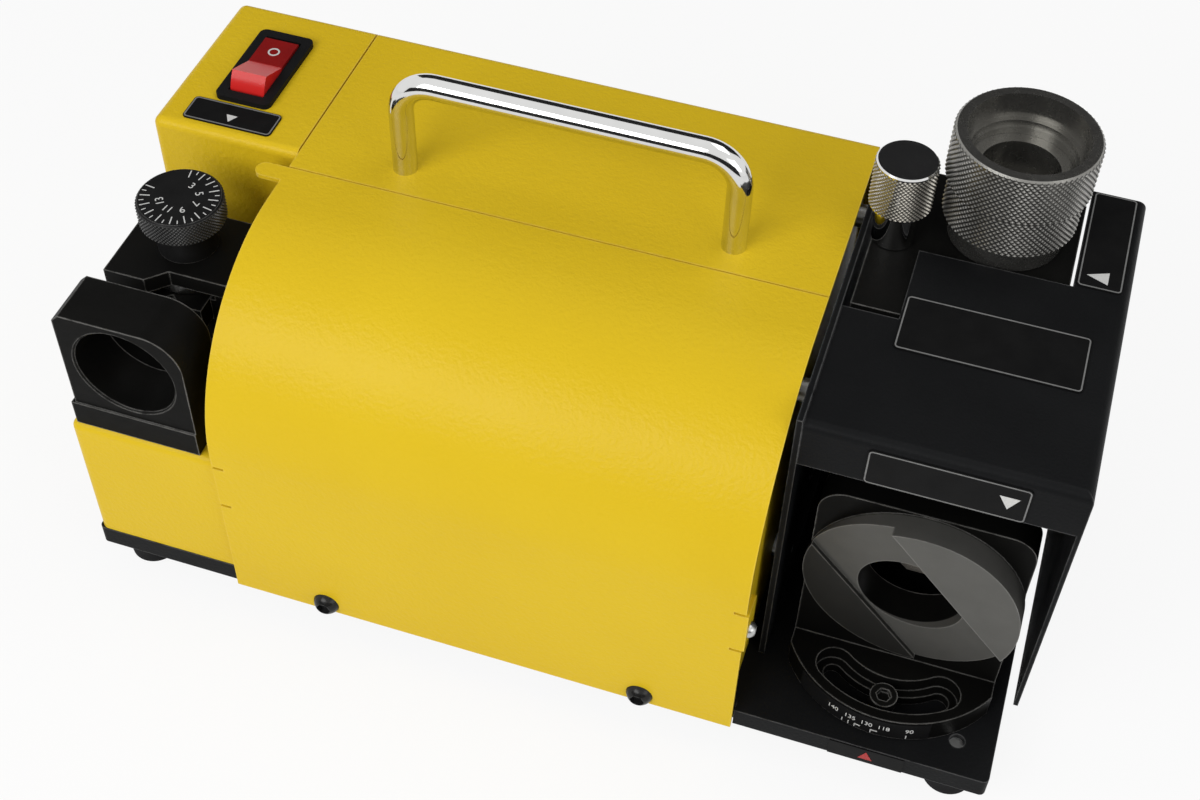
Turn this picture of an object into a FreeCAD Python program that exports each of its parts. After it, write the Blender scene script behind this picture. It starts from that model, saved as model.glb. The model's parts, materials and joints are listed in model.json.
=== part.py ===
"""Bench drill bit sharpener: pressed-steel motor body, wheel chamber, setting fixture and collet chuck.

Built with X along the length from the left end, Y from the front edge to the back and Z up from
the surface it stands on. Every node is moved to the middle of the overall box when it is written.
"""
import FreeCAD
import Part
import math
import os

V = FreeCAD.Vector
X_DIR = V(1, 0, 0)
Y_DIR = V(0, 1, 0)
Z_DIR = V(0, 0, 1)

# Fits and gaps
SLIP = 0.05
RUN = 0.3
SEAM = 0.6
SHEET = 1.5
PAST = 5.0

# Feet and base plate
FOOT_HEIGHT = 12.0
FOOT_RADIUS = 9.5
FOOT_TAPER = 0.9
FOOT_INSET = 12.5
FOOT_SEAT = 5.0
BASE_DEPTH = 152.0
BASE_THICK = 8.0
BASE_CORNER = 2.0

# Screws: shank radius, head radius and head height
M3_SHANK = 1.5
M3_HEAD = 2.8
M3_HEAD_H = 2.0
M5_SHANK = 2.5
M5_HEAD = 4.7
M5_HEAD_H = 2.8
M6_SHANK = 3.0
M6_HEAD = 4.6
M6_HEAD_H = 4.6
HEX_RATIO = 0.55
HEX_DEPTH = 1.8
THREAD_GRIP = 6.0
M3 = (M3_SHANK, M3_HEAD, M3_HEAD_H)
M5 = (M5_SHANK, M5_HEAD, M5_HEAD_H)
M6 = (M6_SHANK, M6_HEAD, M6_HEAD_H)

# Left housing: low shelf in front, switch tower behind
HOUSING_INSET = 0.5
HOUSING_WIDTH = 53.0
HOUSING_FRONT = 0.3
BEND = 3.0
SHELF_HEIGHT = 57.0
TOWER_DEPTH = 69.5
BODY_HEIGHT = 123.0
TAB_LENGTH = 14.0
TAB_WIDTH = 12.0
TAB_FRONT = 30.0
TAB_BACK = 19.5

# Rocker switch
SWITCH_SHIFT = -1.2
SWITCH_INSET = 33.7
BEZEL_WIDTH = 20.0
BEZEL_LENGTH = 38.5
BEZEL_THICK = 2.0
BEZEL_LIP = 2.4
SWITCH_WALL = 1.1
SWITCH_END_WALL = 1.25
SWITCH_DEPTH = 26.0
ROCKER_PIVOT_DROP = 3.0
ROCKER_FACE_RISE = 5.8
ROCKER_RISE_DEG = 22.0
ROCKER_UNDER = 5.0
ROCKER_PIN = 1.5
ROCKER_PIN_LENGTH = 0.6

# Power inlet on the back of the tower
INLET_RISE = 62.0
INLET_WIDTH = 28.0
INLET_HEIGHT = 50.0
INLET_FLANGE = 2.5
INLET_BODY_W = 24.0
INLET_BODY_H = 20.0
INLET_BODY_D = 22.0
INLET_WALL = 2.0
INLET_FLOOR = 4.0
INLET_PIN_W = 2.0
INLET_PIN_H = 4.0
INLET_PIN_PITCH = 7.0
INLET_PIN_LENGTH = 14.0
INLET_SCREW_PITCH = 40.0

# Setting block with the chuck bore
BLOCK_SHIFT = -0.7
BLOCK_WALL = 4.5
BLOCK_FRONT = 2.1
BLOCK_DEPTH = 19.0
BLOCK_WEB = 13.7
BLOCK_CROWN = 2.7
BLOCK_STEP = 10.0
BLOCK_TOE = 1.3
BLOCK_TOE_FRONT = 0.6
BLOCK_ROUND = 13.0
BLOCK_CHAMFER = 2.5
BLOCK_BORE_EDGE = 0.7
BLOCK_SCREW_INSET = 7.0
TROUGH_ROOM = 1.5

# Stop bracket, its slide and the setting dial
DIAL_SHIFT = -0.1
DIAL_INSET = 12.8
BRACKET_WALL = 6.1
BRACKET_FRONT = 38.0
BRACKET_DEPTH = 28.0
BRACKET_HEIGHT = 45.0
BRACKET_ROOF = 6.0
ROOF_LIP_LEFT = 7.5
ROOF_LIP_RIGHT = 1.5
ROOF_STEP = 6.0
SLIDE_HALF = 12.0
SLIDE_THICK = 9.0
SLIDE_NOSE = 6.0
SLIDE_LENGTH = 29.0
SLIDE_NOTCH = 4.0
SLIDE_TRAVEL = 5.0
SCROLL_RADIUS = 14.0
SCROLL_THICK = 3.4
SCROLL_START = 11.0
SCROLL_TURN_DEG = 213.0
SCROLL_PIN = 1.2
SCROLL_STEPS = 24
DIAL_SHAFT = 4.0
DIAL_RADIUS = 14.0
DIAL_HEIGHT = 9.0
DIAL_COLLAR = 10.0
DIAL_COLLAR_H = 11.0
DIAL_EDGE = 0.6

# Motor body: top and back cover, end plates and front lid
BODY_LENGTH = 180.5
SEAM_AHEAD = 6.6
LID_RADIUS = 60.0
LID_SWEEP_GAP = 0.8
EAR_DEPTH = 9.0
EAR_BOTTOM = 38.0
EAR_HEIGHT = 18.5
EAR_JOGGLE = 0.8
EAR_SLOT = 1.2
EAR_SLOT_DEPTH = 4.0
EAR_SCREW_Y = 3.6
EAR_SCREW_RISE = 5.0
EAR_SCREW_REACH = 0.3
TONGUE_LENGTH = 10.0
TONGUE_WIDTH = 6.4
PLATE_TAB = 14.0
PLATE_TAB_FRONT = 40.0
PLATE_TAB_BACK = 7.5
VENT_COUNT = 12
VENT_PITCH = 11.0
VENT_WIDTH = 3.0
VENT_HEIGHT = 34.0
VENT_RISE = 38.0

# Lid hinge in the front edge of the base; the handle stands over the same middle
FIXING_SHIFT = 1.15
NOSE_GAP = 0.7
HINGE_PITCH = 114.2
KNUCKLE_HALF = 9.0
KNUCKLE_CLEAR = 0.4
HINGE_PIN = 1.4
HINGE_PIN_GRIP = 6.0
DOME_REACH = 2.6

# Carrying handle
HANDLE_PITCH = 111.0
HANDLE_SETBACK = 11.9
HANDLE_BAR = 4.1
HANDLE_RISE = 36.0
HANDLE_BEND = 12.0
HANDLE_SCREW_GRIP = 10.0

# Collet tray behind the lid
TRAY_RISE = 26.0
TRAY_FRONT = 5.0
TRAY_DEPTH = 32.0
TRAY_FLANGE = 10.0
COLLET_PITCH = 23.0
COLLET_BIG = 10.5
COLLET_SMALL = 6.6
COLLET_RIM = 6.0
COLLET_LENGTH = 31.0
COLLET_HOLE = 8.0
COLLET_FIRST_BORE = 1.5
COLLET_THIN_WALL = 0.6
COLLET_SLIT = 0.8

# Motor and spindle
SPINDLE_Y = 86.0
SPINDLE_RISE = 49.0
MOTOR_INSET = 29.9
MOTOR_LENGTH = 112.0
MOTOR_RADIUS = 42.0
MOTOR_WALL = 3.0
SHIELD_THICK = 12.0
SHIELD_SPIGOT = 4.0
BEARING_OUTER = 14.0
BEARING_INNER = 6.0
BEARING_WIDTH = 9.0
SHAFT_ROOM = 2.0
STATOR_BORE = 23.0
STATOR_LENGTH = 56.0
WINDING_OUTER = 34.0
WINDING_LENGTH = 11.0
ROTOR_GAP = 0.4
FAN_RADIUS = 34.0
FAN_WIDTH = 9.0
FAN_HUB = 11.0
FAN_BLADES = 8
FAN_BLADE_THICK = 2.0
FAN_GAP = 2.0
CRADLE_LENGTH = 70.0
CRADLE_HALF = 34.0
CRADLE_WRAP = 14.0
CRADLE_SCREW_X = 23.0
CRADLE_SCREW_Y = 24.0

# Wheel chamber: side plate, wheel and its flange and nut
SIDE_GAP = 2.2
SIDE_THICK = 2.0
SIDE_FRONT = 25.0
SIDE_OVER = 1.0
SIDE_SHAFT_HOLE = 17.0
SPACER_RADIUS = 4.0
SPACER_LOW = 20.0
SPACER_HIGH = 100.0
SPACER_FRONT = 31.0
SPACER_BACK = 11.5
WHEEL_HALF = 18.0
WHEEL_RADIUS = 38.0
WHEEL_EDGE = 3.0
WHEEL_BEVEL_DEG = 30.0
FLANGE_RADIUS = 15.0
FLANGE_THICK = 8.0
NUT_THICK = 6.0
NUT_FLATS = 9.5
SHAFT_TAIL = 3.0
SHAFT_SHOULDER = 7.5

# Black wheel cover
COVER_REACH = 42.5
COVER_OVERHANG = 3.3
COVER_BEHIND = 3.0
COVER_OVER = 2.0
FASCIA_HEIGHT = 18.0
COVER_SKIRT = 109.3
NOTCH_REACH = 9.4
CUTOUT_ROOM = 1.4
CUTOUT_GAP = 0.8
COVER_SCREW_INSET = 13.0
COVER_SCREW_PITCH = 28.0
COVER_SCREW_EDGE = 10.0
COVER_SCREW_DROP = 9.0

# Relief bracket with the chuck port, and the clamp knob
RELIEF_LEFT_GAP = 2.0
RELIEF_SIDE_WALL = 6.5
RELIEF_FRONT_GAP = 4.0
RELIEF_INSET = 3.0
RELIEF_CLEAR = 5.0
RELIEF_THICK = 26.0
RELIEF_WEB = 9.0
RELIEF_SCREW_INSET = 12.0
PORT_WALL = 3.7
PORT_CLEAR = 0.1
KNOB_INSET = 8.4
KNOB_BESIDE = 33.6
KNOB_AHEAD = 14.0
KNOB_RADIUS = 9.8
KNOB_HEIGHT = 18.0
KNOB_NECK = 7.1
KNOB_NECK_H = 13.7
KNOB_STUD_GRIP = 12.0
KNOB_EDGE = 0.5

# Collet chuck standing in the relief port
CHUCK_NOSE = 17.2
NOSE_LENGTH = 23.0
NOSE_FLAT = 12.2
COLLAR_LEDGE = 1.4
COLLAR_HEIGHT = 7.4
GRIP_LEDGE = 2.55
GRIP_HEIGHT = 15.0
NECK_RADIUS = 16.4
NECK_HEIGHT = 4.5
NECK_BORE = 12.6
COLLET_BACK = 4.9
CHUCK_BORE = 9.0
NUT_LEDGE = 1.6
NUT_HEIGHT = 18.0
NUT_WALL = 3.6
NUT_STEP = 0.8
NUT_BORE_DEPTH = 9.0
CHUCK_EDGE = 0.6

# Point-angle holder
WHEEL_GAP = 5.0
PIVOT_BEHIND = 2.0
PIVOT_PIN = 4.0
PIVOT_PIN_RISE = 7.0
HOLDER_LIFT = 0.3
HOLDER_FOOT = 9.7
HOLDER_HALF = 34.0
HOLDER_PLATE = 11.0
HOLDER_CROWN = 0.7
HOLDER_CORNER = 9.0
HOLDER_HEEL = 14.0
HOLDER_HEEL_HALF = 13.0
RING_RADIUS = 35.3
RING_TURN_DEG = 41.3
RING_PROUD = 9.0
RING_STEP = 15.0
BAND_PROUD = 3.4
BAND_SLOPE_DEG = 8.6
LIP_PLACE = 18.0
LIP_PROUD = 2.4
LIP_END = 0.8
SLOT_RADIUS = 29.0
SLOT_EDGE = 10.0
SLOT_SWEEP_DEG = 38.0
SLOT_FLOOR = 4.0
SLOT_ROOM = 1.7
SCALE_THICK = 0.4
SCALE_MARGIN = 0.8
SCALE_LEFT_DEG = 44.0
SCALE_RIGHT_DEG = 26.0

# Thin plates for markings
LABEL_THICK = 0.5
LABEL_ROUND = 1.6
TOWER_LABEL_LENGTH = 32.0
TOWER_LABEL_WIDTH = 11.2
TOWER_LABEL_GAP = 1.2
TOP_LABEL_SHIFT = 4.9
TOP_LABEL_INSET = 50.0
TOP_LABEL_LENGTH = 57.0
TOP_LABEL_WIDTH = 23.4
RELIEF_LABEL_MARGIN = 0.7
FASCIA_LABEL_SHIFT = 2.0
FASCIA_LABEL_LENGTH = 48.0
FASCIA_LABEL_MARGIN = 0.2
INDEX_SHIFT = -0.8
INDEX_LENGTH = 25.0
INDEX_MARGIN = 0.3

# Heights worked out from the sizes above
BASE_BOTTOM = FOOT_HEIGHT
BASE_TOP = FOOT_HEIGHT + BASE_THICK
BASE_MID = FOOT_HEIGHT + BASE_THICK / 2
SHELF_Z = BASE_TOP + SHELF_HEIGHT
BRACKET_TOP = SHELF_Z + BRACKET_HEIGHT
ROOF_Z = BRACKET_TOP - BRACKET_ROOF
SCROLL_BOTTOM = ROOF_Z - RUN - SCROLL_THICK
SLIDE_TOP = SCROLL_BOTTOM - RUN
SLIDE_BOTTOM = SLIDE_TOP - SLIDE_THICK
BODY_TOP = BASE_TOP + BODY_HEIGHT
SPINDLE_Z = BASE_TOP + SPINDLE_RISE
RELIEF_BOTTOM = SPINDLE_Z + WHEEL_RADIUS + RELIEF_CLEAR
RELIEF_TOP = RELIEF_BOTTOM + RELIEF_THICK
COVER_TOP = RELIEF_TOP + COVER_OVER
CHUCK_SEAT = RELIEF_TOP + RUN

# Places along the length
HOUSING_LEFT = HOUSING_INSET
HOUSING_RIGHT = HOUSING_LEFT + HOUSING_WIDTH
HOUSING_MID = HOUSING_LEFT + HOUSING_WIDTH / 2
SWITCH_X = HOUSING_MID + SWITCH_SHIFT
BLOCK_X = HOUSING_MID + BLOCK_SHIFT
DIAL_X = HOUSING_MID + DIAL_SHIFT
TAB_X = HOUSING_LEFT + SHEET + TAB_WIDTH / 2
BODY_LEFT = HOUSING_RIGHT + SEAM
BODY_RIGHT = BODY_LEFT + BODY_LENGTH
BODY_MID = BODY_LEFT + BODY_LENGTH / 2
END_LEFT = BODY_LEFT + SHEET + 2 * RUN
END_RIGHT = BODY_RIGHT - SHEET - 2 * RUN
FIXING_X = BODY_MID + FIXING_SHIFT
HINGE_XS = (FIXING_X - HINGE_PITCH / 2, FIXING_X + HINGE_PITCH / 2)
HANDLE_XS = (FIXING_X - HANDLE_PITCH / 2, FIXING_X + HANDLE_PITCH / 2)
MOTOR_LEFT = BODY_LEFT + MOTOR_INSET
MOTOR_MID = MOTOR_LEFT + MOTOR_LENGTH / 2
SIDE_LEFT = BODY_RIGHT + SIDE_GAP
SIDE_RIGHT = SIDE_LEFT + SIDE_THICK
KNOB_X = SIDE_RIGHT + KNOB_INSET
WHEEL_X = KNOB_X + KNOB_BESIDE
COVER_LEFT = SIDE_RIGHT
COVER_RIGHT = WHEEL_X + COVER_REACH
BASE_LENGTH = COVER_RIGHT - COVER_OVERHANG
PORT_RADIUS = CHUCK_NOSE + PORT_CLEAR
RELIEF_LEFT = SIDE_RIGHT + RELIEF_LEFT_GAP
RELIEF_RIGHT = WHEEL_X + PORT_RADIUS + RELIEF_SIDE_WALL
RELIEF_SCREW_XS = (RELIEF_LEFT + RELIEF_SCREW_INSET, RELIEF_RIGHT - RELIEF_SCREW_INSET)
NOTCH_RIGHT = KNOB_X + NOTCH_REACH
CUTOUT_RIGHT = RELIEF_RIGHT + CUTOUT_GAP

# Chuck radii, each from the one inside it
CHUCK_COLLAR = CHUCK_NOSE + COLLAR_LEDGE
CHUCK_GRIP = CHUCK_COLLAR + GRIP_LEDGE
NUT_RADIUS = CHUCK_GRIP + NUT_LEDGE

# Places from the front to the back
BODY_BACK = BASE_DEPTH - HOUSING_INSET
TOWER_FRONT = BODY_BACK - TOWER_DEPTH
SWITCH_Y = BODY_BACK - SWITCH_INSET
DIAL_Y = BRACKET_FRONT + DIAL_INSET
LID_FACE = SHEET + RUN
SEAM_Y = TOWER_FRONT - SEAM_AHEAD
HANDLE_Y = SEAM_Y + HANDLE_SETBACK
HINGE_AXIS_Y = BASE_THICK / 2 + NOSE_GAP - LID_FACE + SHEET
KNUCKLE_RADIUS = BASE_THICK / 2 - KNUCKLE_CLEAR
COVER_FRONT = SIDE_FRONT
COVER_BACK = BASE_DEPTH + COVER_BEHIND
COVER_SCREW_YS = (COVER_FRONT + COVER_SCREW_INSET, COVER_FRONT + COVER_SCREW_INSET + COVER_SCREW_PITCH)
COVER_FLANGE_BACK = COVER_SCREW_YS[1] + COVER_SCREW_EDGE
RELIEF_BACK = BASE_DEPTH - RELIEF_INSET
RELIEF_FRONT = COVER_FLANGE_BACK + RELIEF_FRONT_GAP
RELIEF_SCREW_Y = RELIEF_BACK - RELIEF_WEB / 2
PORT_Y = RELIEF_BACK - PORT_WALL - PORT_RADIUS
KNOB_Y = PORT_Y - KNOB_AHEAD
CUTOUT_FRONT = PORT_Y - CHUCK_COLLAR - CUTOUT_ROOM
HOLDER_BACK = SPINDLE_Y - WHEEL_RADIUS - WHEEL_GAP
HOLDER_FACE = HOLDER_BACK - HOLDER_PLATE
PIVOT_Y = HOLDER_BACK + PIVOT_BEHIND
CLAMP_Y = PIVOT_Y - SLOT_RADIUS
FRONT_REACH = LID_FACE + M5_HEAD_H
ORIGIN = V(COVER_RIGHT / 2, (COVER_BACK - FRONT_REACH) / 2, 0)

# Screw places
FOOT_XS = (FOOT_INSET, BASE_LENGTH - FOOT_INSET)
FOOT_YS = (FOOT_INSET, BASE_DEPTH - FOOT_INSET)
FOOT_PLACES = [(x, y) for x in FOOT_XS for y in FOOT_YS]
TAB_YS = (TAB_FRONT, BODY_BACK - TAB_BACK - TAB_LENGTH)
PLATE_TAB_YS = (PLATE_TAB_FRONT, BODY_BACK - PLATE_TAB_BACK - PLATE_TAB)
TAB_SCREW_PLACES = (
    [(TAB_X, y + TAB_LENGTH / 2) for y in TAB_YS]
    + [(END_LEFT + SHEET + PLATE_TAB / 2, y + PLATE_TAB / 2) for y in PLATE_TAB_YS]
    + [(END_RIGHT - SHEET - PLATE_TAB / 2, y + PLATE_TAB / 2) for y in PLATE_TAB_YS]
)
CRADLE_SCREWS = [
    (MOTOR_MID + side * CRADLE_SCREW_X, SPINDLE_Y + across * CRADLE_SCREW_Y)
    for side in (-1, 1)
    for across in (-1, 1)
]
SPACER_YS = (SIDE_FRONT + SPACER_FRONT, BODY_BACK - SPACER_BACK)
SPACER_ZS = (BASE_TOP + SPACER_LOW, BASE_TOP + SPACER_HIGH)
SPACER_PLACES = [(y, z) for y in SPACER_YS for z in SPACER_ZS]


def box(x0, x1, y0, y1, z0, z1):
    return Part.makeBox(x1 - x0, y1 - y0, z1 - z0, V(x0, y0, z0))


def upright(x, y, half_x, half_y, z0, z1):
    """Box standing on a middle point, with half its width and half its depth."""
    return box(x - half_x, x + half_x, y - half_y, y + half_y, z0, z1)


def rod(start, direction, radius, length):
    return Part.makeCylinder(radius, length, start, direction)


def tube(start, direction, outer, inner, length):
    return rod(start, direction, outer, length).cut(rod(start, direction, inner, length))


def turned(start, direction, profile):
    """Solid of revolution: (radius, distance along the axis) points about a line from start."""
    points = [V(r, 0, d) for r, d in profile]
    face = Part.Face(Part.makePolygon(points + points[:1]))
    solid = face.revolve(V(0, 0, 0), Z_DIR, 360)
    solid.Placement = FreeCAD.Placement(start, FreeCAD.Rotation(Z_DIR, direction))
    return solid


def slab(points, direction):
    """Flat outline through the given points, pushed along a direction."""
    return Part.Face(Part.makePolygon(points + points[:1])).extrude(direction)


def edges_where(shape, test):
    return [edge for edge in shape.Edges if test(edge.BoundBox)]


def near(a, b):
    return abs(a - b) < 1e-4


def hexagon(start, direction, corner, length):
    """Six-sided bar from start along direction, measured to its corners."""
    turns = [math.radians(60 * k) for k in range(6)]
    ring = [V(corner * math.cos(turn), corner * math.sin(turn), 0) for turn in turns]
    bar = slab(ring, V(0, 0, length))
    bar.Placement = FreeCAD.Placement(start, FreeCAD.Rotation(Z_DIR, direction))
    return bar


def screw(seat, direction, size, length):
    """Cylinder-head screw: the head stands behind the seat and the shank runs along direction."""
    shank, head, head_h = size
    crown = rod(seat - direction * head_h, direction, head, head_h)
    crown = crown.cut(hexagon(seat - direction * head_h, direction, head * HEX_RATIO, HEX_DEPTH))
    return crown.fuse(rod(seat, direction, shank, length)).removeSplitter()


def button_screw(seat, direction, size, length):
    """Dome-head screw, flat round the key recess."""
    shank, head, head_h = size
    socket = head * HEX_RATIO
    sink = (head * head - socket * socket - head_h * head_h) / (2 * head_h)
    dome = Part.makeSphere(math.hypot(head, sink), seat + direction * sink)
    dome = dome.common(rod(seat - direction * head_h, direction, head, head_h))
    dome = dome.cut(hexagon(seat - direction * head_h, direction, socket, HEX_DEPTH))
    return dome.fuse(rod(seat, direction, shank, length))


def hole(shape, start, direction, radius, depth):
    return shape.cut(rod(start, direction, radius, depth))


def write(name, *shapes):
    solids = [solid for shape in shapes for solid in shape.Solids]
    whole = solids[0] if len(solids) == 1 else Part.makeCompound(solids)
    moved = whole.copy()
    moved.translate(ORIGIN * -1)
    moved.exportStep("parts/%s.step" % name)
    print(name, len(solids), whole.isValid(), round(sum(s.Volume for s in solids)))


def base_plate():
    plate = box(0, BASE_LENGTH, 0, BASE_DEPTH, BASE_BOTTOM, BASE_TOP)
    corners = edges_where(plate, lambda b: near(b.ZLength, BASE_THICK))
    plate = plate.makeFillet(BASE_CORNER, corners)
    lid_left = BODY_LEFT - RUN
    lid_right = BODY_RIGHT + RUN
    plate = plate.cut(box(lid_left, lid_right, -PAST, HINGE_AXIS_Y, BASE_BOTTOM, BASE_TOP))
    nose_start = V(lid_left, HINGE_AXIS_Y, BASE_MID)
    plate = plate.fuse(rod(nose_start, X_DIR, BASE_THICK / 2, lid_right - lid_left)).removeSplitter()
    for x in HINGE_XS:
        half = KNUCKLE_HALF + RUN
        pocket_back = HINGE_AXIS_Y + KNUCKLE_RADIUS + 2 * RUN
        plate = plate.cut(box(x - half, x + half, -PAST, pocket_back, BASE_BOTTOM, BASE_TOP))
        pin_start = V(x - half - HINGE_PIN_GRIP, HINGE_AXIS_Y, BASE_MID)
        plate = hole(plate, pin_start, X_DIR, HINGE_PIN + SLIP, 2 * (half + HINGE_PIN_GRIP))
    for x, y in FOOT_PLACES:
        plate = hole(plate, V(x, y, BASE_BOTTOM), Z_DIR, M5_SHANK + SLIP, BASE_THICK)
    for x, y in TAB_SCREW_PLACES:
        plate = hole(plate, V(x, y, BASE_BOTTOM), Z_DIR, M3_SHANK + SLIP, BASE_THICK)
        plate = hole(plate, V(x, y, BASE_BOTTOM), Z_DIR, M3_HEAD + RUN, M3_HEAD_H)
    for x, y in CRADLE_SCREWS + [(x, RELIEF_SCREW_Y) for x in RELIEF_SCREW_XS]:
        plate = hole(plate, V(x, y, BASE_BOTTOM), Z_DIR, M5_SHANK + SLIP, BASE_THICK)
        plate = hole(plate, V(x, y, BASE_BOTTOM), Z_DIR, M5_HEAD + RUN, M5_HEAD_H)
    plate = hole(plate, V(WHEEL_X, PIVOT_Y, BASE_BOTTOM), Z_DIR, PIVOT_PIN + SLIP, BASE_THICK)
    plate = hole(plate, V(WHEEL_X, CLAMP_Y, BASE_BOTTOM), Z_DIR, M6_SHANK + SLIP, BASE_THICK)
    write("base_plate", plate)


def feet():
    rubber = []
    screws = []
    for x, y in FOOT_PLACES:
        foot = Part.makeCone(FOOT_RADIUS - FOOT_TAPER, FOOT_RADIUS, FOOT_HEIGHT, V(x, y, 0))
        foot = hole(foot, V(x, y, 0), Z_DIR, M5_HEAD + RUN, FOOT_SEAT)
        foot = hole(foot, V(x, y, 0), Z_DIR, M5_SHANK + SLIP, FOOT_HEIGHT)
        rubber.append(foot)
        shank = FOOT_HEIGHT - FOOT_SEAT + THREAD_GRIP
        screws.append(screw(V(x, y, FOOT_SEAT), Z_DIR, M5, shank))
    write("rubber_feet", *rubber)
    write("foot_screws", *screws)


def bent_box(x0, x1, y0, y1, z0, z1, radius):
    """Box with rounded top front, top back, top left and left upright edges, square on the right."""
    shape = box(x0, x1, y0, y1, z0, z1)

    def rounded(b):
        on_top = near(b.ZMin, z1)
        on_right = near(b.XMin, x1)
        upright_left = near(b.XMax, x0) and b.ZLength > radius
        return (on_top and not on_right) or upright_left

    return shape.makeFillet(radius, edges_where(shape, rounded))


def housing_block(inset, right):
    low_front = HOUSING_FRONT + inset
    left = HOUSING_LEFT + inset
    back = BODY_BACK - inset
    bottom = BASE_TOP - (PAST if inset else 0)
    radius = BEND - inset
    shelf = bent_box(left, right, low_front, back, bottom, SHELF_Z - inset, radius)
    tower = bent_box(left, right, TOWER_FRONT + inset, back, bottom, BODY_TOP - inset, radius)
    return shelf.fuse(tower).removeSplitter()


def left_housing():
    shell = housing_block(0, HOUSING_RIGHT).cut(housing_block(SHEET, HOUSING_RIGHT + PAST))
    for y in TAB_YS:
        tab_left = HOUSING_LEFT + SHEET / 2
        tab_right = HOUSING_LEFT + SHEET + TAB_WIDTH
        tab = box(tab_left, tab_right, y, y + TAB_LENGTH, BASE_TOP, BASE_TOP + SHEET)
        shell = shell.fuse(tab)
        shell = hole(shell, V(TAB_X, y + TAB_LENGTH / 2, BASE_TOP), Z_DIR, M3_SHANK + SLIP, SHEET)
    half_w = BEZEL_WIDTH / 2 - BEZEL_LIP + SLIP
    half_l = BEZEL_LENGTH / 2 - BEZEL_LIP + SLIP
    shell = shell.cut(upright(SWITCH_X, SWITCH_Y, half_w, half_l, BODY_TOP - PAST, BODY_TOP + PAST))
    inlet_x = HOUSING_MID
    inlet_z = BASE_TOP + INLET_RISE
    body_w = INLET_BODY_W / 2 + SLIP
    body_h = INLET_BODY_H / 2 + SLIP
    window_left = inlet_x - body_w
    window_right = inlet_x + body_w
    window_front = BODY_BACK - PAST
    window_back = BODY_BACK + PAST
    window = box(window_left, window_right, window_front, window_back, inlet_z - body_h, inlet_z + body_h)
    shell = shell.cut(window)
    for side in (-1, 1):
        spot = V(inlet_x, BODY_BACK - PAST, inlet_z + side * INLET_SCREW_PITCH / 2)
        shell = hole(shell, spot, Y_DIR, M3_SHANK + SLIP, 2 * PAST)
    for x in block_screw_xs():
        spot = V(x, BLOCK_FRONT + BLOCK_DEPTH / 2, SHELF_Z - PAST)
        shell = hole(shell, spot, Z_DIR, M3_SHANK + SLIP, 2 * PAST)
    for x in bracket_screw_xs():
        spot = V(x, BRACKET_FRONT + BRACKET_DEPTH / 2, SHELF_Z - PAST)
        shell = hole(shell, spot, Z_DIR, M3_SHANK + SLIP, 2 * PAST)
    shell = hole(shell, V(DIAL_X, trough_screw_y(), SHELF_Z - PAST), Z_DIR, M3_SHANK + SLIP, 2 * PAST)
    write("left_housing", shell.removeSplitter())


def tab_screws():
    screws = []
    for x, y in TAB_SCREW_PLACES:
        seat = V(x, y, BASE_BOTTOM + M3_HEAD_H)
        screws.append(screw(seat, Z_DIR, M3, BASE_THICK - M3_HEAD_H + SHEET))
    write("panel_screws", *screws)


def rocker_switch():
    pivot_z = BODY_TOP - ROCKER_PIVOT_DROP
    half_w = BEZEL_WIDTH / 2
    half_l = BEZEL_LENGTH / 2
    bezel = upright(SWITCH_X, SWITCH_Y, half_w, half_l, BODY_TOP, BODY_TOP + BEZEL_THICK)
    corners = edges_where(bezel, lambda b: near(b.ZLength, BEZEL_THICK))
    bezel = bezel.makeFillet(BEZEL_LIP, corners)
    body_w = half_w - BEZEL_LIP
    body_l = half_l - BEZEL_LIP
    body = upright(SWITCH_X, SWITCH_Y, body_w, body_l, BODY_TOP - SWITCH_DEPTH, BODY_TOP)
    well_w = body_w - SWITCH_WALL
    well_l = body_l - SWITCH_END_WALL
    rocker_half = well_w - RUN
    rocker_radius = well_l - 2 * RUN
    well_floor = pivot_z - rocker_radius - RUN
    well = upright(SWITCH_X, SWITCH_Y, well_w, well_l, well_floor, BODY_TOP + PAST)
    pin_reach = rocker_half + ROCKER_PIN_LENGTH
    pin_start = V(SWITCH_X - pin_reach - RUN, SWITCH_Y, pivot_z)
    housing = bezel.fuse(body).removeSplitter().cut(well)
    housing = hole(housing, pin_start, X_DIR, ROCKER_PIN + SLIP, 2 * (pin_reach + RUN))
    write("switch_housing", housing)

    left = SWITCH_X - rocker_half
    crest = ROCKER_FACE_RISE + rocker_radius * math.tan(math.radians(ROCKER_RISE_DEG))
    outline = [
        V(left, SWITCH_Y - rocker_radius, pivot_z - ROCKER_UNDER),
        V(left, SWITCH_Y + rocker_radius, pivot_z - ROCKER_UNDER),
        V(left, SWITCH_Y + rocker_radius, pivot_z + ROCKER_FACE_RISE),
        V(left, SWITCH_Y, pivot_z + ROCKER_FACE_RISE),
        V(left, SWITCH_Y - rocker_radius, pivot_z + crest),
    ]
    rocker = slab(outline, X_DIR * (2 * rocker_half))
    rocker = rocker.common(rod(V(left, SWITCH_Y, pivot_z), X_DIR, rocker_radius, 2 * rocker_half))
    pins = rod(V(SWITCH_X - pin_reach, SWITCH_Y, pivot_z), X_DIR, ROCKER_PIN, 2 * pin_reach)
    write("switch_rocker", rocker.fuse(pins).removeSplitter())


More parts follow.
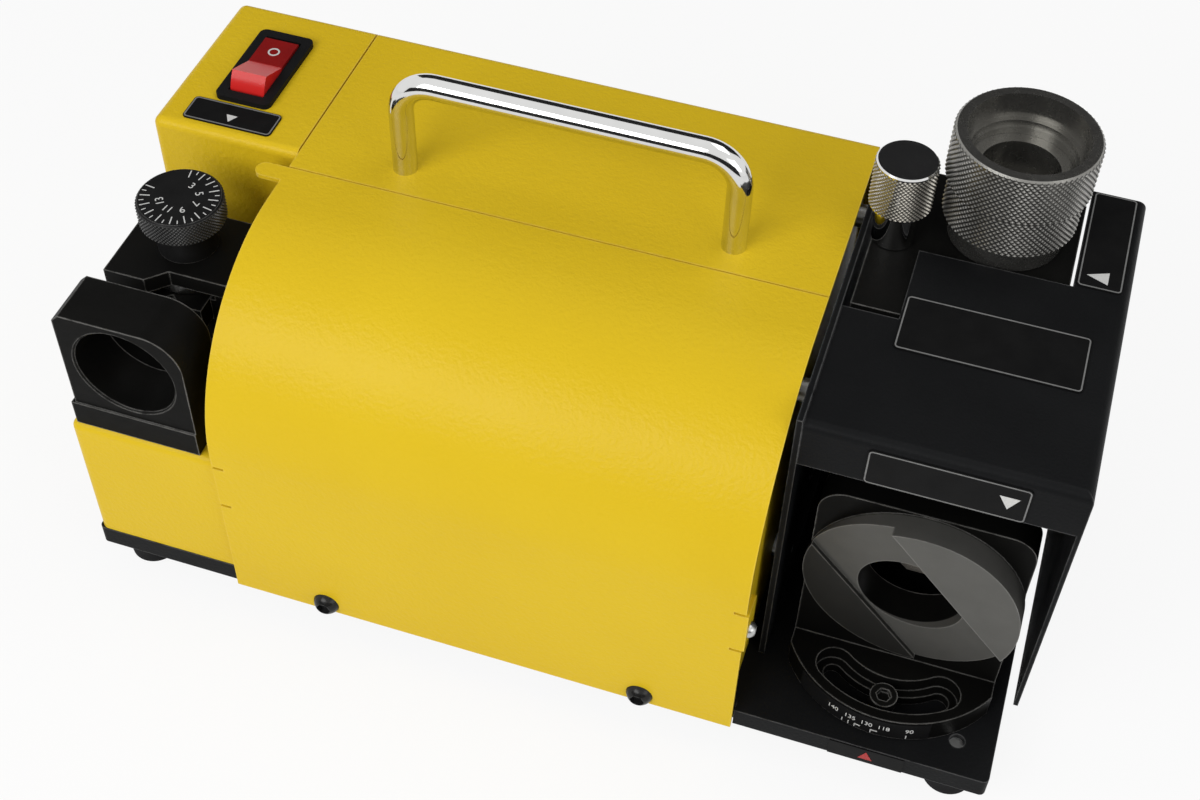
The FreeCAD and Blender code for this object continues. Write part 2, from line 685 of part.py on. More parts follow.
def power_inlet():
    x = HOUSING_MID
    z = BASE_TOP + INLET_RISE
    flange = box(
        x - INLET_WIDTH / 2, x + INLET_WIDTH / 2, BODY_BACK, BODY_BACK + INLET_FLANGE,
        z - INLET_HEIGHT / 2, z + INLET_HEIGHT / 2,
    )
    flange = flange.makeFillet(BEND, edges_where(flange, lambda b: near(b.YLength, INLET_FLANGE)))
    half_w = INLET_BODY_W / 2
    half_h = INLET_BODY_H / 2
    front = BODY_BACK - INLET_BODY_D
    body = box(x - half_w, x + half_w, front, BODY_BACK, z - half_h, z + half_h)
    hollow = box(
        x - half_w + INLET_WALL, x + half_w - INLET_WALL, front + INLET_FLOOR, BODY_BACK + PAST,
        z - half_h + INLET_WALL, z + half_h - INLET_WALL,
    )
    inlet = flange.fuse(body).removeSplitter().cut(hollow)
    for step, rise in ((-1, -1), (0, 1), (1, -1)):
        pin_x = x + step * INLET_PIN_PITCH
        pin_z = z + rise * INLET_PIN_H / 2
        inlet = inlet.fuse(
            box(
                pin_x - INLET_PIN_W / 2, pin_x + INLET_PIN_W / 2, front + INLET_FLOOR / 2,
                front + INLET_FLOOR + INLET_PIN_LENGTH, pin_z - INLET_PIN_H / 2, pin_z + INLET_PIN_H / 2,
            )
        )
    screws = []
    for side in (-1, 1):
        seat = V(x, BODY_BACK + INLET_FLANGE, z + side * INLET_SCREW_PITCH / 2)
        inlet = hole(inlet, seat - Y_DIR * INLET_FLANGE, Y_DIR, M3_SHANK + SLIP, INLET_FLANGE)
        inlet = hole(inlet, seat - Y_DIR * M3_HEAD_H, Y_DIR, M3_HEAD + RUN, M3_HEAD_H)
        seat = seat - Y_DIR * M3_HEAD_H
        screws.append(screw(seat, Y_DIR * -1, M3, INLET_FLANGE + THREAD_GRIP))
    write("power_inlet", inlet)
    write("inlet_screws", *screws)


def block_screw_xs():
    spread = PORT_RADIUS + BLOCK_WALL - BLOCK_SCREW_INSET
    return (BLOCK_X - spread, BLOCK_X + spread)


def bracket_half():
    return SCROLL_RADIUS + RUN + BRACKET_WALL


def trough_screw_y():
    return (BLOCK_FRONT + BLOCK_DEPTH + BRACKET_FRONT) / 2


def bracket_screw_xs():
    spread = (bracket_half() + SLIDE_HALF) / 2
    return (DIAL_X - spread, DIAL_X + spread)


def setting_block():
    left = BLOCK_X - PORT_RADIUS - BLOCK_WALL
    right = BLOCK_X + PORT_RADIUS + BLOCK_WALL
    back = BLOCK_FRONT + BLOCK_DEPTH
    bore_z = SHELF_Z + BLOCK_WEB + PORT_RADIUS
    top = bore_z + PORT_RADIUS + BLOCK_CROWN
    block = box(left, right, BLOCK_FRONT, back, SHELF_Z, top)
    right_top = edges_where(block, lambda b: near(b.XMin, right) and near(b.ZMin, top))
    block = block.makeFillet(BLOCK_ROUND, right_top)
    left_top = edges_where(block, lambda b: near(b.XMax, left) and near(b.ZMin, top))
    block = block.makeChamfer(BLOCK_CHAMFER, left_top)
    toe = box(left - BLOCK_TOE, right, BLOCK_FRONT - BLOCK_TOE_FRONT, back, SHELF_Z, SHELF_Z + BLOCK_STEP)
    block = block.fuse(toe).removeSplitter()
    bore = V(BLOCK_X, BLOCK_FRONT, bore_z)
    mouth = PORT_RADIUS + BLOCK_BORE_EDGE
    block = hole(block, bore, Y_DIR, PORT_RADIUS, BLOCK_DEPTH)
    block = block.cut(Part.makeCone(mouth, PORT_RADIUS, BLOCK_BORE_EDGE, bore, Y_DIR))
    screws = []
    for x in block_screw_xs():
        middle = BLOCK_FRONT + BLOCK_DEPTH / 2
        block = hole(block, V(x, middle, SHELF_Z), Z_DIR, M3_SHANK + SLIP, THREAD_GRIP)
        seat = V(x, middle, SHELF_Z - SHEET)
        screws.append(screw(seat, Z_DIR, M3, SHEET + THREAD_GRIP))
    for x in bracket_screw_xs():
        middle = BRACKET_FRONT + BRACKET_DEPTH / 2
        seat = V(x, middle, SHELF_Z - SHEET)
        screws.append(screw(seat, Z_DIR, M3, SHEET + THREAD_GRIP))
    trough_left = DIAL_X - bracket_half()
    trough_right = DIAL_X + bracket_half()
    trough = box(trough_left, trough_right, back, BRACKET_FRONT, SHELF_Z, SLIDE_BOTTOM - RUN)
    trough_length = BRACKET_FRONT - back
    trough = hole(trough, V(BLOCK_X, back, bore_z), Y_DIR, PORT_RADIUS + TROUGH_ROOM, trough_length)
    trough = hole(trough, V(DIAL_X, trough_screw_y(), SHELF_Z), Z_DIR, M3_SHANK + SLIP, THREAD_GRIP)
    seat = V(DIAL_X, trough_screw_y(), SHELF_Z - SHEET)
    screws.append(screw(seat, Z_DIR, M3, SHEET + THREAD_GRIP))
    write("setting_trough", trough)
    write("setting_block", block)
    write("fixture_screws", *screws)


def scroll_groove(bottom):
    """Spiral groove of steady pitch: its radius falls by the slide's travel over the dial's full turn."""
    half = SCROLL_PIN + RUN
    sweep = math.radians(SCROLL_TURN_DEG)
    spare = math.asin(half / (SCROLL_START - SLIDE_TRAVEL))
    lead = SLIDE_TRAVEL / sweep

    def place(turn, offset):
        radius = SCROLL_START - lead * turn + offset
        angle = -math.pi / 2 - turn
        return V(DIAL_X + radius * math.cos(angle), DIAL_Y + radius * math.sin(angle), bottom)

    turns = [-spare + (sweep + 2 * spare) * k / SCROLL_STEPS for k in range(SCROLL_STEPS + 1)]
    outer = Part.BSplineCurve()
    outer.interpolate([place(turn, half) for turn in turns])
    inner = Part.BSplineCurve()
    inner.interpolate([place(turn, -half) for turn in turns])
    ends = [Part.makeLine(place(turn, half), place(turn, -half)) for turn in (turns[0], turns[-1])]
    wire = Part.Wire(Part.__sortEdges__([outer.toShape(), inner.toShape()] + ends))
    return Part.Face(wire).extrude(V(0, 0, SCROLL_THICK))


def stop_and_dial():
    left = DIAL_X - bracket_half()
    right = DIAL_X + bracket_half()
    back = BRACKET_FRONT + BRACKET_DEPTH
    cheeks = box(left, right, BRACKET_FRONT, back, SHELF_Z, ROOF_Z)
    channel_half = SCROLL_RADIUS + RUN
    channel_left = DIAL_X - channel_half
    channel_right = DIAL_X + channel_half
    cheeks = cheeks.cut(box(channel_left, channel_right, BRACKET_FRONT, back, SLIDE_TOP + RUN / 2, ROOF_Z))
    run_half = SLIDE_HALF + RUN
    run_floor = SLIDE_BOTTOM - SLIP
    cheeks = cheeks.cut(box(DIAL_X - run_half, DIAL_X + run_half, BRACKET_FRONT, back, run_floor, ROOF_Z))
    lip = [
        V(left, BRACKET_FRONT - ROOF_LIP_LEFT, ROOF_Z),
        V(DIAL_X - ROOF_STEP, BRACKET_FRONT - ROOF_LIP_LEFT, ROOF_Z),
        V(DIAL_X, BRACKET_FRONT - ROOF_LIP_RIGHT, ROOF_Z),
        V(right, BRACKET_FRONT - ROOF_LIP_RIGHT, ROOF_Z),
        V(right, back, ROOF_Z),
        V(left, back, ROOF_Z),
    ]
    bracket = cheeks.fuse(slab(lip, V(0, 0, BRACKET_ROOF))).removeSplitter()
    bracket = hole(bracket, V(DIAL_X, DIAL_Y, ROOF_Z), Z_DIR, DIAL_SHAFT + SLIP, BRACKET_ROOF)
    for x in bracket_screw_xs():
        spot = V(x, BRACKET_FRONT + BRACKET_DEPTH / 2, SHELF_Z)
        bracket = hole(bracket, spot, Z_DIR, M3_SHANK + SLIP, THREAD_GRIP)
    write("stop_bracket", bracket)

    nose = BRACKET_FRONT - SLIDE_NOSE
    slide_left = DIAL_X - SLIDE_HALF
    slide_right = DIAL_X + SLIDE_HALF
    slide = box(slide_left, slide_right, nose, nose + SLIDE_LENGTH, SLIDE_BOTTOM, SLIDE_TOP)
    notch = [
        V(DIAL_X - SLIDE_NOTCH, nose, SLIDE_BOTTOM),
        V(DIAL_X + SLIDE_NOTCH, nose, SLIDE_BOTTOM),
        V(DIAL_X, nose + SLIDE_NOTCH, SLIDE_BOTTOM),
    ]
    slide = slide.cut(slab(notch, V(0, 0, SLIDE_THICK)))
    pin = rod(V(DIAL_X, DIAL_Y - SCROLL_START, SLIDE_TOP), Z_DIR, SCROLL_PIN, SCROLL_THICK)
    write("stop_slide", slide.fuse(pin))

    shaft_top = BRACKET_TOP + RUN
    scroll_top = SCROLL_BOTTOM + SCROLL_THICK
    scroll = rod(V(DIAL_X, DIAL_Y, SCROLL_BOTTOM), Z_DIR, SCROLL_RADIUS, SCROLL_THICK)
    scroll = scroll.cut(scroll_groove(SCROLL_BOTTOM))
    shaft = rod(V(DIAL_X, DIAL_Y, scroll_top), Z_DIR, DIAL_SHAFT, shaft_top + DIAL_COLLAR_H - scroll_top)
    write("dial_scroll", scroll.fuse(shaft).removeSplitter())

    top = DIAL_COLLAR_H + DIAL_HEIGHT
    profile = [
        (DIAL_SHAFT + SLIP, 0),
        (DIAL_COLLAR, 0),
        (DIAL_COLLAR, DIAL_COLLAR_H),
        (DIAL_RADIUS - DIAL_EDGE, DIAL_COLLAR_H),
        (DIAL_RADIUS, DIAL_COLLAR_H + DIAL_EDGE),
        (DIAL_RADIUS, top - DIAL_EDGE),
        (DIAL_RADIUS - DIAL_EDGE, top),
        (0, top),
        (0, DIAL_COLLAR_H),
        (DIAL_SHAFT + SLIP, DIAL_COLLAR_H),
    ]
    write("setting_dial", turned(V(DIAL_X, DIAL_Y, shaft_top), Z_DIR, profile))


def curve_outline(x, face, radius, bottom, top, rear):
    """Outline of the body's rounded front at one x: upright face, quarter arc, flat top, square rear."""
    centre_y = face + radius
    centre_z = top - radius
    bend = Part.Arc(
        V(x, face, centre_z),
        V(x, centre_y - radius * math.cos(math.pi / 4), centre_z + radius * math.sin(math.pi / 4)),
        V(x, centre_y, top),
    )
    return Part.Wire([
        Part.makeLine(V(x, face, bottom), V(x, face, centre_z)),
        bend.toShape(),
        Part.makeLine(V(x, centre_y, top), V(x, rear, top)),
        Part.makeLine(V(x, rear, top), V(x, rear, bottom)),
        Part.makeLine(V(x, rear, bottom), V(x, face, bottom)),
    ])


def body_cover():
    left = BODY_LEFT
    right = BODY_RIGHT
    skin = box(left, right, SEAM_Y, BODY_BACK, BASE_TOP, BODY_TOP)
    fold = edges_where(skin, lambda b: near(b.YMin, BODY_BACK) and near(b.ZMin, BODY_TOP))
    skin = skin.makeFillet(BEND, fold)
    inside_back = BODY_BACK - SHEET
    inside_top = BODY_TOP - SHEET
    inner = box(left - PAST, right + PAST, SEAM_Y - PAST, inside_back, BASE_TOP - PAST, inside_top)
    inner_fold = edges_where(inner, lambda b: near(b.YMin, inside_back) and near(b.ZMin, inside_top))
    skin = skin.cut(inner.makeFillet(BEND - SHEET, inner_fold))
    for x in HANDLE_XS:
        skin = hole(skin, V(x, HANDLE_Y, BODY_TOP - PAST), Z_DIR, M5_SHANK + SLIP, 2 * PAST)
    for k in range(VENT_COUNT):
        x = BODY_MID + (k - (VENT_COUNT - 1) / 2) * VENT_PITCH
        z = BASE_TOP + VENT_RISE
        skin = skin.cut(upright(x, BODY_BACK, VENT_WIDTH / 2, PAST, z, z + VENT_HEIGHT))
    write("body_cover", skin)


def end_plates():
    face = -LID_FACE + SHEET + LID_SWEEP_GAP
    radius = LID_RADIUS - SHEET - LID_SWEEP_GAP
    top = BODY_TOP - SHEET - LID_SWEEP_GAP
    rear = BODY_BACK - SHEET - RUN
    sides = (("end_plate_left", END_LEFT, 1), ("end_plate_right", END_RIGHT - SHEET, -1))
    for name, start, inward in sides:
        plate = Part.Face(curve_outline(start, face, radius, BASE_TOP, top, rear)).extrude(X_DIR * SHEET)
        ledge = box(start, start + SHEET, SEAM_Y, rear - BEND, top, BODY_TOP - SHEET)
        plate = plate.fuse(ledge)
        near_side = start + SHEET / 2
        far_side = start + SHEET / 2 + inward * (PLATE_TAB + SHEET / 2)
        for y in PLATE_TAB_YS:
            tab_left = min(near_side, far_side)
            tab_right = max(near_side, far_side)
            plate = plate.fuse(box(tab_left, tab_right, y, y + PLATE_TAB, BASE_TOP, BASE_TOP + SHEET))
        plate = plate.removeSplitter()
        for x, y in TAB_SCREW_PLACES:
            plate = hole(plate, V(x, y, BASE_TOP), Z_DIR, M3_SHANK + SLIP, SHEET)
        if inward < 0:
            spot = V(start - PAST, SPINDLE_Y, SPINDLE_Z)
            plate = hole(plate, spot, X_DIR, SIDE_SHAFT_HOLE, SHEET + 2 * PAST)
            for y, z in SPACER_PLACES:
                plate = hole(plate, V(start, y, z), X_DIR, M3_SHANK + SLIP, SHEET)
        write(name, plate)


def front_lid():
    left = BODY_LEFT
    right = BODY_RIGHT
    rear = SEAM_Y - SEAM
    bottom = BASE_BOTTOM
    outer = Part.Face(curve_outline(left, -LID_FACE, LID_RADIUS, bottom, BODY_TOP, rear))
    inner_face = -LID_FACE + SHEET
    inner_radius = LID_RADIUS - SHEET
    inner = Part.Face(
        curve_outline(left, inner_face, inner_radius, bottom - PAST, BODY_TOP - SHEET, rear + PAST)
    )
    lid = outer.cut(inner).extrude(X_DIR * (right - left))
    tongue_y = rear - TONGUE_WIDTH
    tongue = box(left - TONGUE_LENGTH, left + SHEET, tongue_y, rear, BODY_TOP - SHEET, BODY_TOP)
    tip = edges_where(tongue, lambda b: near(b.XMax, left - TONGUE_LENGTH) and near(b.ZLength, SHEET))
    lid = lid.fuse(tongue.makeFillet(TONGUE_WIDTH / 2 - SLIP, tip))
    ear_z = BASE_TOP + EAR_BOTTOM
    ear_top = ear_z + EAR_HEIGHT
    screw_z = ear_z + EAR_SCREW_RISE
    ear_screws = []
    for side, start in ((-1, left), (1, right - SHEET + EAR_JOGGLE)):
        ear = box(start, start + SHEET, -LID_FACE, EAR_DEPTH, ear_z, ear_top)
        rounding = edges_where(ear, lambda b: near(b.YMin, EAR_DEPTH) and near(b.XLength, SHEET))
        lid = lid.fuse(ear.makeFillet(BEND, rounding))
        edge_x = left if side < 0 else right
        for z in (ear_z - EAR_SLOT, ear_top):
            slot_left = edge_x - EAR_SLOT_DEPTH
            lid = lid.cut(box(slot_left, edge_x + EAR_SLOT_DEPTH, -PAST, PAST, z, z + EAR_SLOT))
        lid = hole(lid, V(start, EAR_SCREW_Y, screw_z), X_DIR, M3_SHANK + SLIP, SHEET)
        length = SHEET + EAR_SCREW_REACH
        if side > 0:
            seat = V(start + SHEET, EAR_SCREW_Y, screw_z)
            ear_screws.append(button_screw(seat, X_DIR * -1, M3, length))
        else:
            ear_screws.append(rod(V(left, EAR_SCREW_Y, screw_z), X_DIR, M3_SHANK, length))
    for x in HINGE_XS:
        lid = hole(lid, V(x, -PAST, BASE_MID), Y_DIR, M5_SHANK + SLIP, PAST)
    write("front_lid", lid.removeSplitter())
    write("lid_ear_screws", *ear_screws)


def lid_hinges():
    pins = []
    knuckles = []
    domes = []
    for x in HINGE_XS:
        pin_start = V(x - KNUCKLE_HALF - RUN - HINGE_PIN_GRIP, HINGE_AXIS_Y, BASE_MID)
        pins.append(rod(pin_start, X_DIR, HINGE_PIN, 2 * (KNUCKLE_HALF + RUN + HINGE_PIN_GRIP)))
        barrel_start = V(x - KNUCKLE_HALF, HINGE_AXIS_Y, BASE_MID)
        barrel = rod(barrel_start, X_DIR, KNUCKLE_RADIUS, 2 * KNUCKLE_HALF)
        pad_half = BASE_THICK / 2 - RUN
        pad_front = -LID_FACE + SHEET
        pad_bottom = BASE_MID - pad_half
        pad_top = BASE_MID + pad_half
        pad = box(x - KNUCKLE_HALF, x + KNUCKLE_HALF, pad_front, HINGE_AXIS_Y, pad_bottom, pad_top)
        knuckle = barrel.fuse(pad)
        knuckle = hole(knuckle, barrel_start, X_DIR, HINGE_PIN + SLIP, 2 * KNUCKLE_HALF)
        seat = V(x, -LID_FACE, BASE_MID)
        knuckle = hole(knuckle, seat, Y_DIR, M5_SHANK + SLIP, SHEET + DOME_REACH)
        knuckles.append(knuckle)
        domes.append(button_screw(seat, Y_DIR, M5, SHEET + DOME_REACH - SLIP))
    write("lid_hinge_pins", *pins)
    write("lid_hinge_knuckles", *knuckles)
    write("lid_dome_screws", *domes)


def carry_handle():
    left, right = HANDLE_XS
    crown = BODY_TOP + HANDLE_RISE
    shoulder = crown - HANDLE_BEND
    corner = HANDLE_BEND * (1 - math.cos(math.pi / 4))
    y = HANDLE_Y
    path = Part.Wire([
        Part.makeLine(V(left, y, BODY_TOP), V(left, y, shoulder)),
        Part.Arc(
            V(left, y, shoulder), V(left + corner, y, crown - corner), V(left + HANDLE_BEND, y, crown)
        ).toShape(),
        Part.makeLine(V(left + HANDLE_BEND, y, crown), V(right - HANDLE_BEND, y, crown)),
        Part.Arc(
            V(right - HANDLE_BEND, y, crown), V(right - corner, y, crown - corner), V(right, y, shoulder)
        ).toShape(),
        Part.makeLine(V(right, y, shoulder), V(right, y, BODY_TOP)),
    ])
    section = Part.Wire([Part.makeCircle(HANDLE_BAR, V(left, y, BODY_TOP), Z_DIR)])
    bar = path.makePipeShell([section], True, False)
    screws = []
    for x in (left, right):
        bar = hole(bar, V(x, y, BODY_TOP), Z_DIR, M5_SHANK + SLIP, HANDLE_SCREW_GRIP)
        length = SHEET + HANDLE_SCREW_GRIP
        screws.append(screw(V(x, y, BODY_TOP - SHEET), Z_DIR, M5, length))
    write("carry_handle", bar)
    write("handle_screws", *screws)


def collet(place, bore):
    """Tapered spring collet standing on its small end, with slits cut from the rim."""
    profile = [
        (bore, 0),
        (COLLET_SMALL, 0),
        (COLLET_BIG, COLLET_LENGTH - COLLET_RIM),
        (COLLET_BIG, COLLET_LENGTH),
        (bore, COLLET_LENGTH),
    ]
    shape = turned(place, Z_DIR, profile)
    half = COLLET_SLIT / 2
    reach = COLLET_BIG + PAST
    floor = place.z + COLLET_LENGTH / 2
    top = place.z + COLLET_LENGTH
    shape = shape.cut(upright(place.x, place.y, reach, half, floor, top))
    return shape.cut(upright(place.x, place.y, half, reach, floor, top))


def collet_store():
    left = END_LEFT + SHEET
    right = END_RIGHT - SHEET
    top = BASE_TOP + TRAY_RISE
    back = TRAY_FRONT + TRAY_DEPTH
    tray = box(left, right, TRAY_FRONT, back, top - SHEET, top)
    tray = tray.fuse(box(left, left + SHEET, TRAY_FRONT, back, top - TRAY_FLANGE, top))
    tray = tray.fuse(box(right - SHEET, right, TRAY_FRONT, back, top - TRAY_FLANGE, top))
    tray = tray.fuse(box(left, right, back - SHEET, back, BASE_TOP, top)).removeSplitter()
    row_y = TRAY_FRONT + TRAY_DEPTH / 2
    grow = (COLLET_BIG - COLLET_SMALL) / (COLLET_LENGTH - COLLET_RIM)
    sink = (COLLET_HOLE - COLLET_SMALL) / grow
    collets = []
    count = int((right - left) / COLLET_PITCH)
    widest = COLLET_SMALL - COLLET_THIN_WALL
    for k in range(count):
        x = (left + right) / 2 + (k - (count - 1) / 2) * COLLET_PITCH
        tray = hole(tray, V(x, row_y, top - SHEET), Z_DIR, COLLET_HOLE + SLIP, SHEET)
        bore = COLLET_FIRST_BORE + (widest - COLLET_FIRST_BORE) * k / (count - 1)
        collets.append(collet(V(x, row_y, top - sink), bore))
    write("collet_tray", tray)
    write("spare_collets", *collets)


def motor():
    axis = V(0, SPINDLE_Y, SPINDLE_Z)
    left = MOTOR_LEFT
    right = MOTOR_LEFT + MOTOR_LENGTH
    can_bore = MOTOR_RADIUS - MOTOR_WALL
    write("motor_can", tube(axis + X_DIR * left, X_DIR, MOTOR_RADIUS, can_bore, MOTOR_LENGTH))
    for name, face, outward in (("motor_shield_left", left, -1), ("motor_shield_right", right, 1)):
        out = X_DIR * outward
        start = axis + X_DIR * face
        shield = rod(start, out, MOTOR_RADIUS, SHIELD_THICK - SHIELD_SPIGOT)
        inner_face = start - out * SHIELD_SPIGOT
        shield = shield.fuse(rod(inner_face, out, can_bore - SLIP, SHIELD_SPIGOT)).removeSplitter()
        shield = hole(shield, inner_face, out, BEARING_OUTER + SLIP, BEARING_WIDTH)
        shield = hole(shield, inner_face, out, BEARING_INNER + SHAFT_ROOM, SHIELD_THICK)
        write(name, shield)
    bearing_left = left + SHIELD_SPIGOT - BEARING_WIDTH
    bearing_right = right - SHIELD_SPIGOT
    rings = [
        tube(axis + X_DIR * x, X_DIR, BEARING_OUTER, BEARING_INNER + SLIP, BEARING_WIDTH)
        for x in (bearing_left, bearing_right)
    ]
    write("motor_bearings", *rings)
    core_left = MOTOR_MID - STATOR_LENGTH / 2
    write("stator_core", tube(axis + X_DIR * core_left, X_DIR, can_bore - SLIP, STATOR_BORE, STATOR_LENGTH))
    coils = [
        tube(axis + X_DIR * x, X_DIR, WINDING_OUTER, STATOR_BORE + SHAFT_ROOM, WINDING_LENGTH)
        for x in (core_left - WINDING_LENGTH, core_left + STATOR_LENGTH)
    ]
    write("stator_winding", *coils)
    rotor_radius = STATOR_BORE - ROTOR_GAP
    rotor = tube(axis + X_DIR * core_left, X_DIR, rotor_radius, BEARING_INNER + SLIP, STATOR_LENGTH)
    write("rotor_core", rotor)

    fan_right = left - (SHIELD_THICK - SHIELD_SPIGOT) - FAN_GAP
    fan_left = fan_right - FAN_WIDTH
    hub = rod(axis + X_DIR * fan_left, X_DIR, FAN_HUB, FAN_WIDTH)
    disc = rod(axis + X_DIR * fan_left, X_DIR, FAN_RADIUS, FAN_BLADE_THICK)
    fan = hub.fuse(disc)
    for k in range(FAN_BLADES):
        blade = box(
            fan_left, fan_right, SPINDLE_Y - FAN_BLADE_THICK / 2, SPINDLE_Y + FAN_BLADE_THICK / 2,
            SPINDLE_Z + FAN_HUB / 2, SPINDLE_Z + FAN_RADIUS - FAN_BLADE_THICK,
        )
        blade.rotate(axis, X_DIR, 360.0 * k / FAN_BLADES)
        fan = fan.fuse(blade)
    fan = fan.removeSplitter().cut(rod(axis + X_DIR * fan_left, X_DIR, BEARING_INNER + SLIP, FAN_WIDTH))
    write("cooling_fan", fan)

    cradle = box(
        MOTOR_MID - CRADLE_LENGTH / 2, MOTOR_MID + CRADLE_LENGTH / 2, SPINDLE_Y - CRADLE_HALF,
        SPINDLE_Y + CRADLE_HALF, BASE_TOP, SPINDLE_Z - MOTOR_RADIUS + CRADLE_WRAP,
    )
    seat_start = axis + X_DIR * (MOTOR_MID - CRADLE_LENGTH)
    cradle = hole(cradle, seat_start, X_DIR, MOTOR_RADIUS + SLIP, 2 * CRADLE_LENGTH)
    screws = []
    for x, y in CRADLE_SCREWS:
        seat = V(x, y, BASE_BOTTOM + M5_HEAD_H)
        cradle = hole(cradle, V(x, y, BASE_TOP), Z_DIR, M5_SHANK + SLIP, THREAD_GRIP)
        screws.append(screw(seat, Z_DIR, M5, BASE_THICK - M5_HEAD_H + THREAD_GRIP))
    write("motor_cradle", cradle)
    write("cradle_screws", *screws)


def spindle():
    axis = V(0, SPINDLE_Y, SPINDLE_Z)
    fan_left = MOTOR_LEFT - (SHIELD_THICK - SHIELD_SPIGOT) - FAN_GAP - FAN_WIDTH
    wheel_left = WHEEL_X - WHEEL_HALF
    wheel_right = WHEEL_X + WHEEL_HALF
    flange_left = wheel_left - FLANGE_THICK
    motor_right = MOTOR_LEFT + MOTOR_LENGTH + SHIELD_THICK - SHIELD_SPIGOT
    end = wheel_right + NUT_THICK + SHAFT_TAIL
    shaft = rod(axis + X_DIR * (fan_left - SHAFT_TAIL), X_DIR, BEARING_INNER, end - fan_left + SHAFT_TAIL)
    step = motor_right + FAN_GAP
    shaft = shaft.fuse(rod(axis + X_DIR * step, X_DIR, SHAFT_SHOULDER, flange_left - step)).removeSplitter()
    write("spindle_shaft", shaft)
    flange = tube(axis + X_DIR * flange_left, X_DIR, FLANGE_RADIUS, BEARING_INNER + SLIP, FLANGE_THICK)
    write("wheel_flange", flange)
    rim = WHEEL_RADIUS - (WHEEL_HALF - WHEEL_EDGE) * math.tan(math.radians(WHEEL_BEVEL_DEG))
    profile = [
        (BEARING_INNER + SLIP, 0),
        (rim, 0),
        (WHEEL_RADIUS, WHEEL_HALF - WHEEL_EDGE),
        (WHEEL_RADIUS, WHEEL_HALF + WHEEL_EDGE),
        (rim, 2 * WHEEL_HALF),
        (BEARING_INNER + SLIP, 2 * WHEEL_HALF),
    ]
    write("grinding_wheel", turned(axis + X_DIR * wheel_left, X_DIR, profile))
    nut = hexagon(axis + X_DIR * wheel_right, X_DIR, NUT_FLATS / math.cos(math.pi / 6), NUT_THICK)
    write("wheel_nut", hole(nut, axis + X_DIR * wheel_right, X_DIR, BEARING_INNER + SLIP, NUT_THICK))


def side_plate():
    top = COVER_TOP + SIDE_OVER
    plate = box(SIDE_LEFT, SIDE_RIGHT, SIDE_FRONT, BODY_BACK, BASE_TOP, top)
    plate = hole(plate, V(SIDE_LEFT, SPINDLE_Y, SPINDLE_Z), X_DIR, SIDE_SHAFT_HOLE, SIDE_THICK)
    spacers = []
    screws = []
    for y, z in SPACER_PLACES:
        plate = hole(plate, V(SIDE_LEFT, y, z), X_DIR, M3_SHANK + SLIP, SIDE_THICK)
        gap = SIDE_LEFT - END_RIGHT
        spacers.append(tube(V(END_RIGHT, y, z), X_DIR, SPACER_RADIUS, M3_SHANK + SLIP, gap))
        seat = V(END_RIGHT - SHEET, y, z)
        screws.append(screw(seat, X_DIR, M3, SIDE_RIGHT - END_RIGHT + SHEET))
    for y in COVER_SCREW_YS:
        spot = V(SIDE_LEFT, y, COVER_TOP - COVER_SCREW_DROP)
        plate = hole(plate, spot, X_DIR, M3_SHANK + SLIP, SIDE_THICK)
    write("side_plate", plate)
    write("side_plate_spacers", *spacers)
    write("side_plate_screws", *screws)


def wheel_cover():
    bottom = COVER_TOP - COVER_SKIRT
    block = box(COVER_LEFT, COVER_RIGHT, COVER_FRONT, COVER_BACK, bottom, COVER_TOP)

    def folded(b):
        top_front = near(b.YMax, COVER_FRONT) and near(b.ZMin, COVER_TOP)
        top_right = near(b.XMin, COVER_RIGHT) and near(b.ZMin, COVER_TOP)
        return top_front or top_right

    block = block.makeFillet(BEND, edges_where(block, folded))
    wall = COVER_RIGHT - SHEET
    fold = COVER_FRONT + SHEET
    roof = COVER_TOP - SHEET
    behind = COVER_BACK + PAST
    inner = box(COVER_LEFT + SHEET, wall, fold, behind, bottom - PAST, roof)

    def inner_folded(b):
        top_front = near(b.YMax, fold) and near(b.ZMin, roof)
        top_right = near(b.XMin, wall) and near(b.ZMin, roof)
        return top_front or top_right

    cover = block.cut(inner.makeFillet(BEND - SHEET, edges_where(inner, inner_folded)))
    fascia_bottom = COVER_TOP - FASCIA_HEIGHT
    above = COVER_TOP + PAST
    before = COVER_FRONT - PAST
    cover = cover.cut(box(COVER_LEFT - PAST, wall, before, behind, bottom - PAST, fascia_bottom))
    cover = cover.cut(box(COVER_LEFT - PAST, NOTCH_RIGHT, COVER_FLANGE_BACK, behind, bottom, above))
    cover = cover.cut(box(NOTCH_RIGHT - PAST, CUTOUT_RIGHT, CUTOUT_FRONT, behind, bottom, above))
    screws = []
    for y in COVER_SCREW_YS:
        seat = V(COVER_LEFT + SHEET, y, COVER_TOP - COVER_SCREW_DROP)
        cover = hole(cover, seat - X_DIR * SHEET, X_DIR, M3_SHANK + SLIP, SHEET)
        length = seat.x - SIDE_LEFT
        screws.append(button_screw(seat, X_DIR * -1, M3, length))
    write("wheel_cover", cover)
    write("cover_screws", *screws)


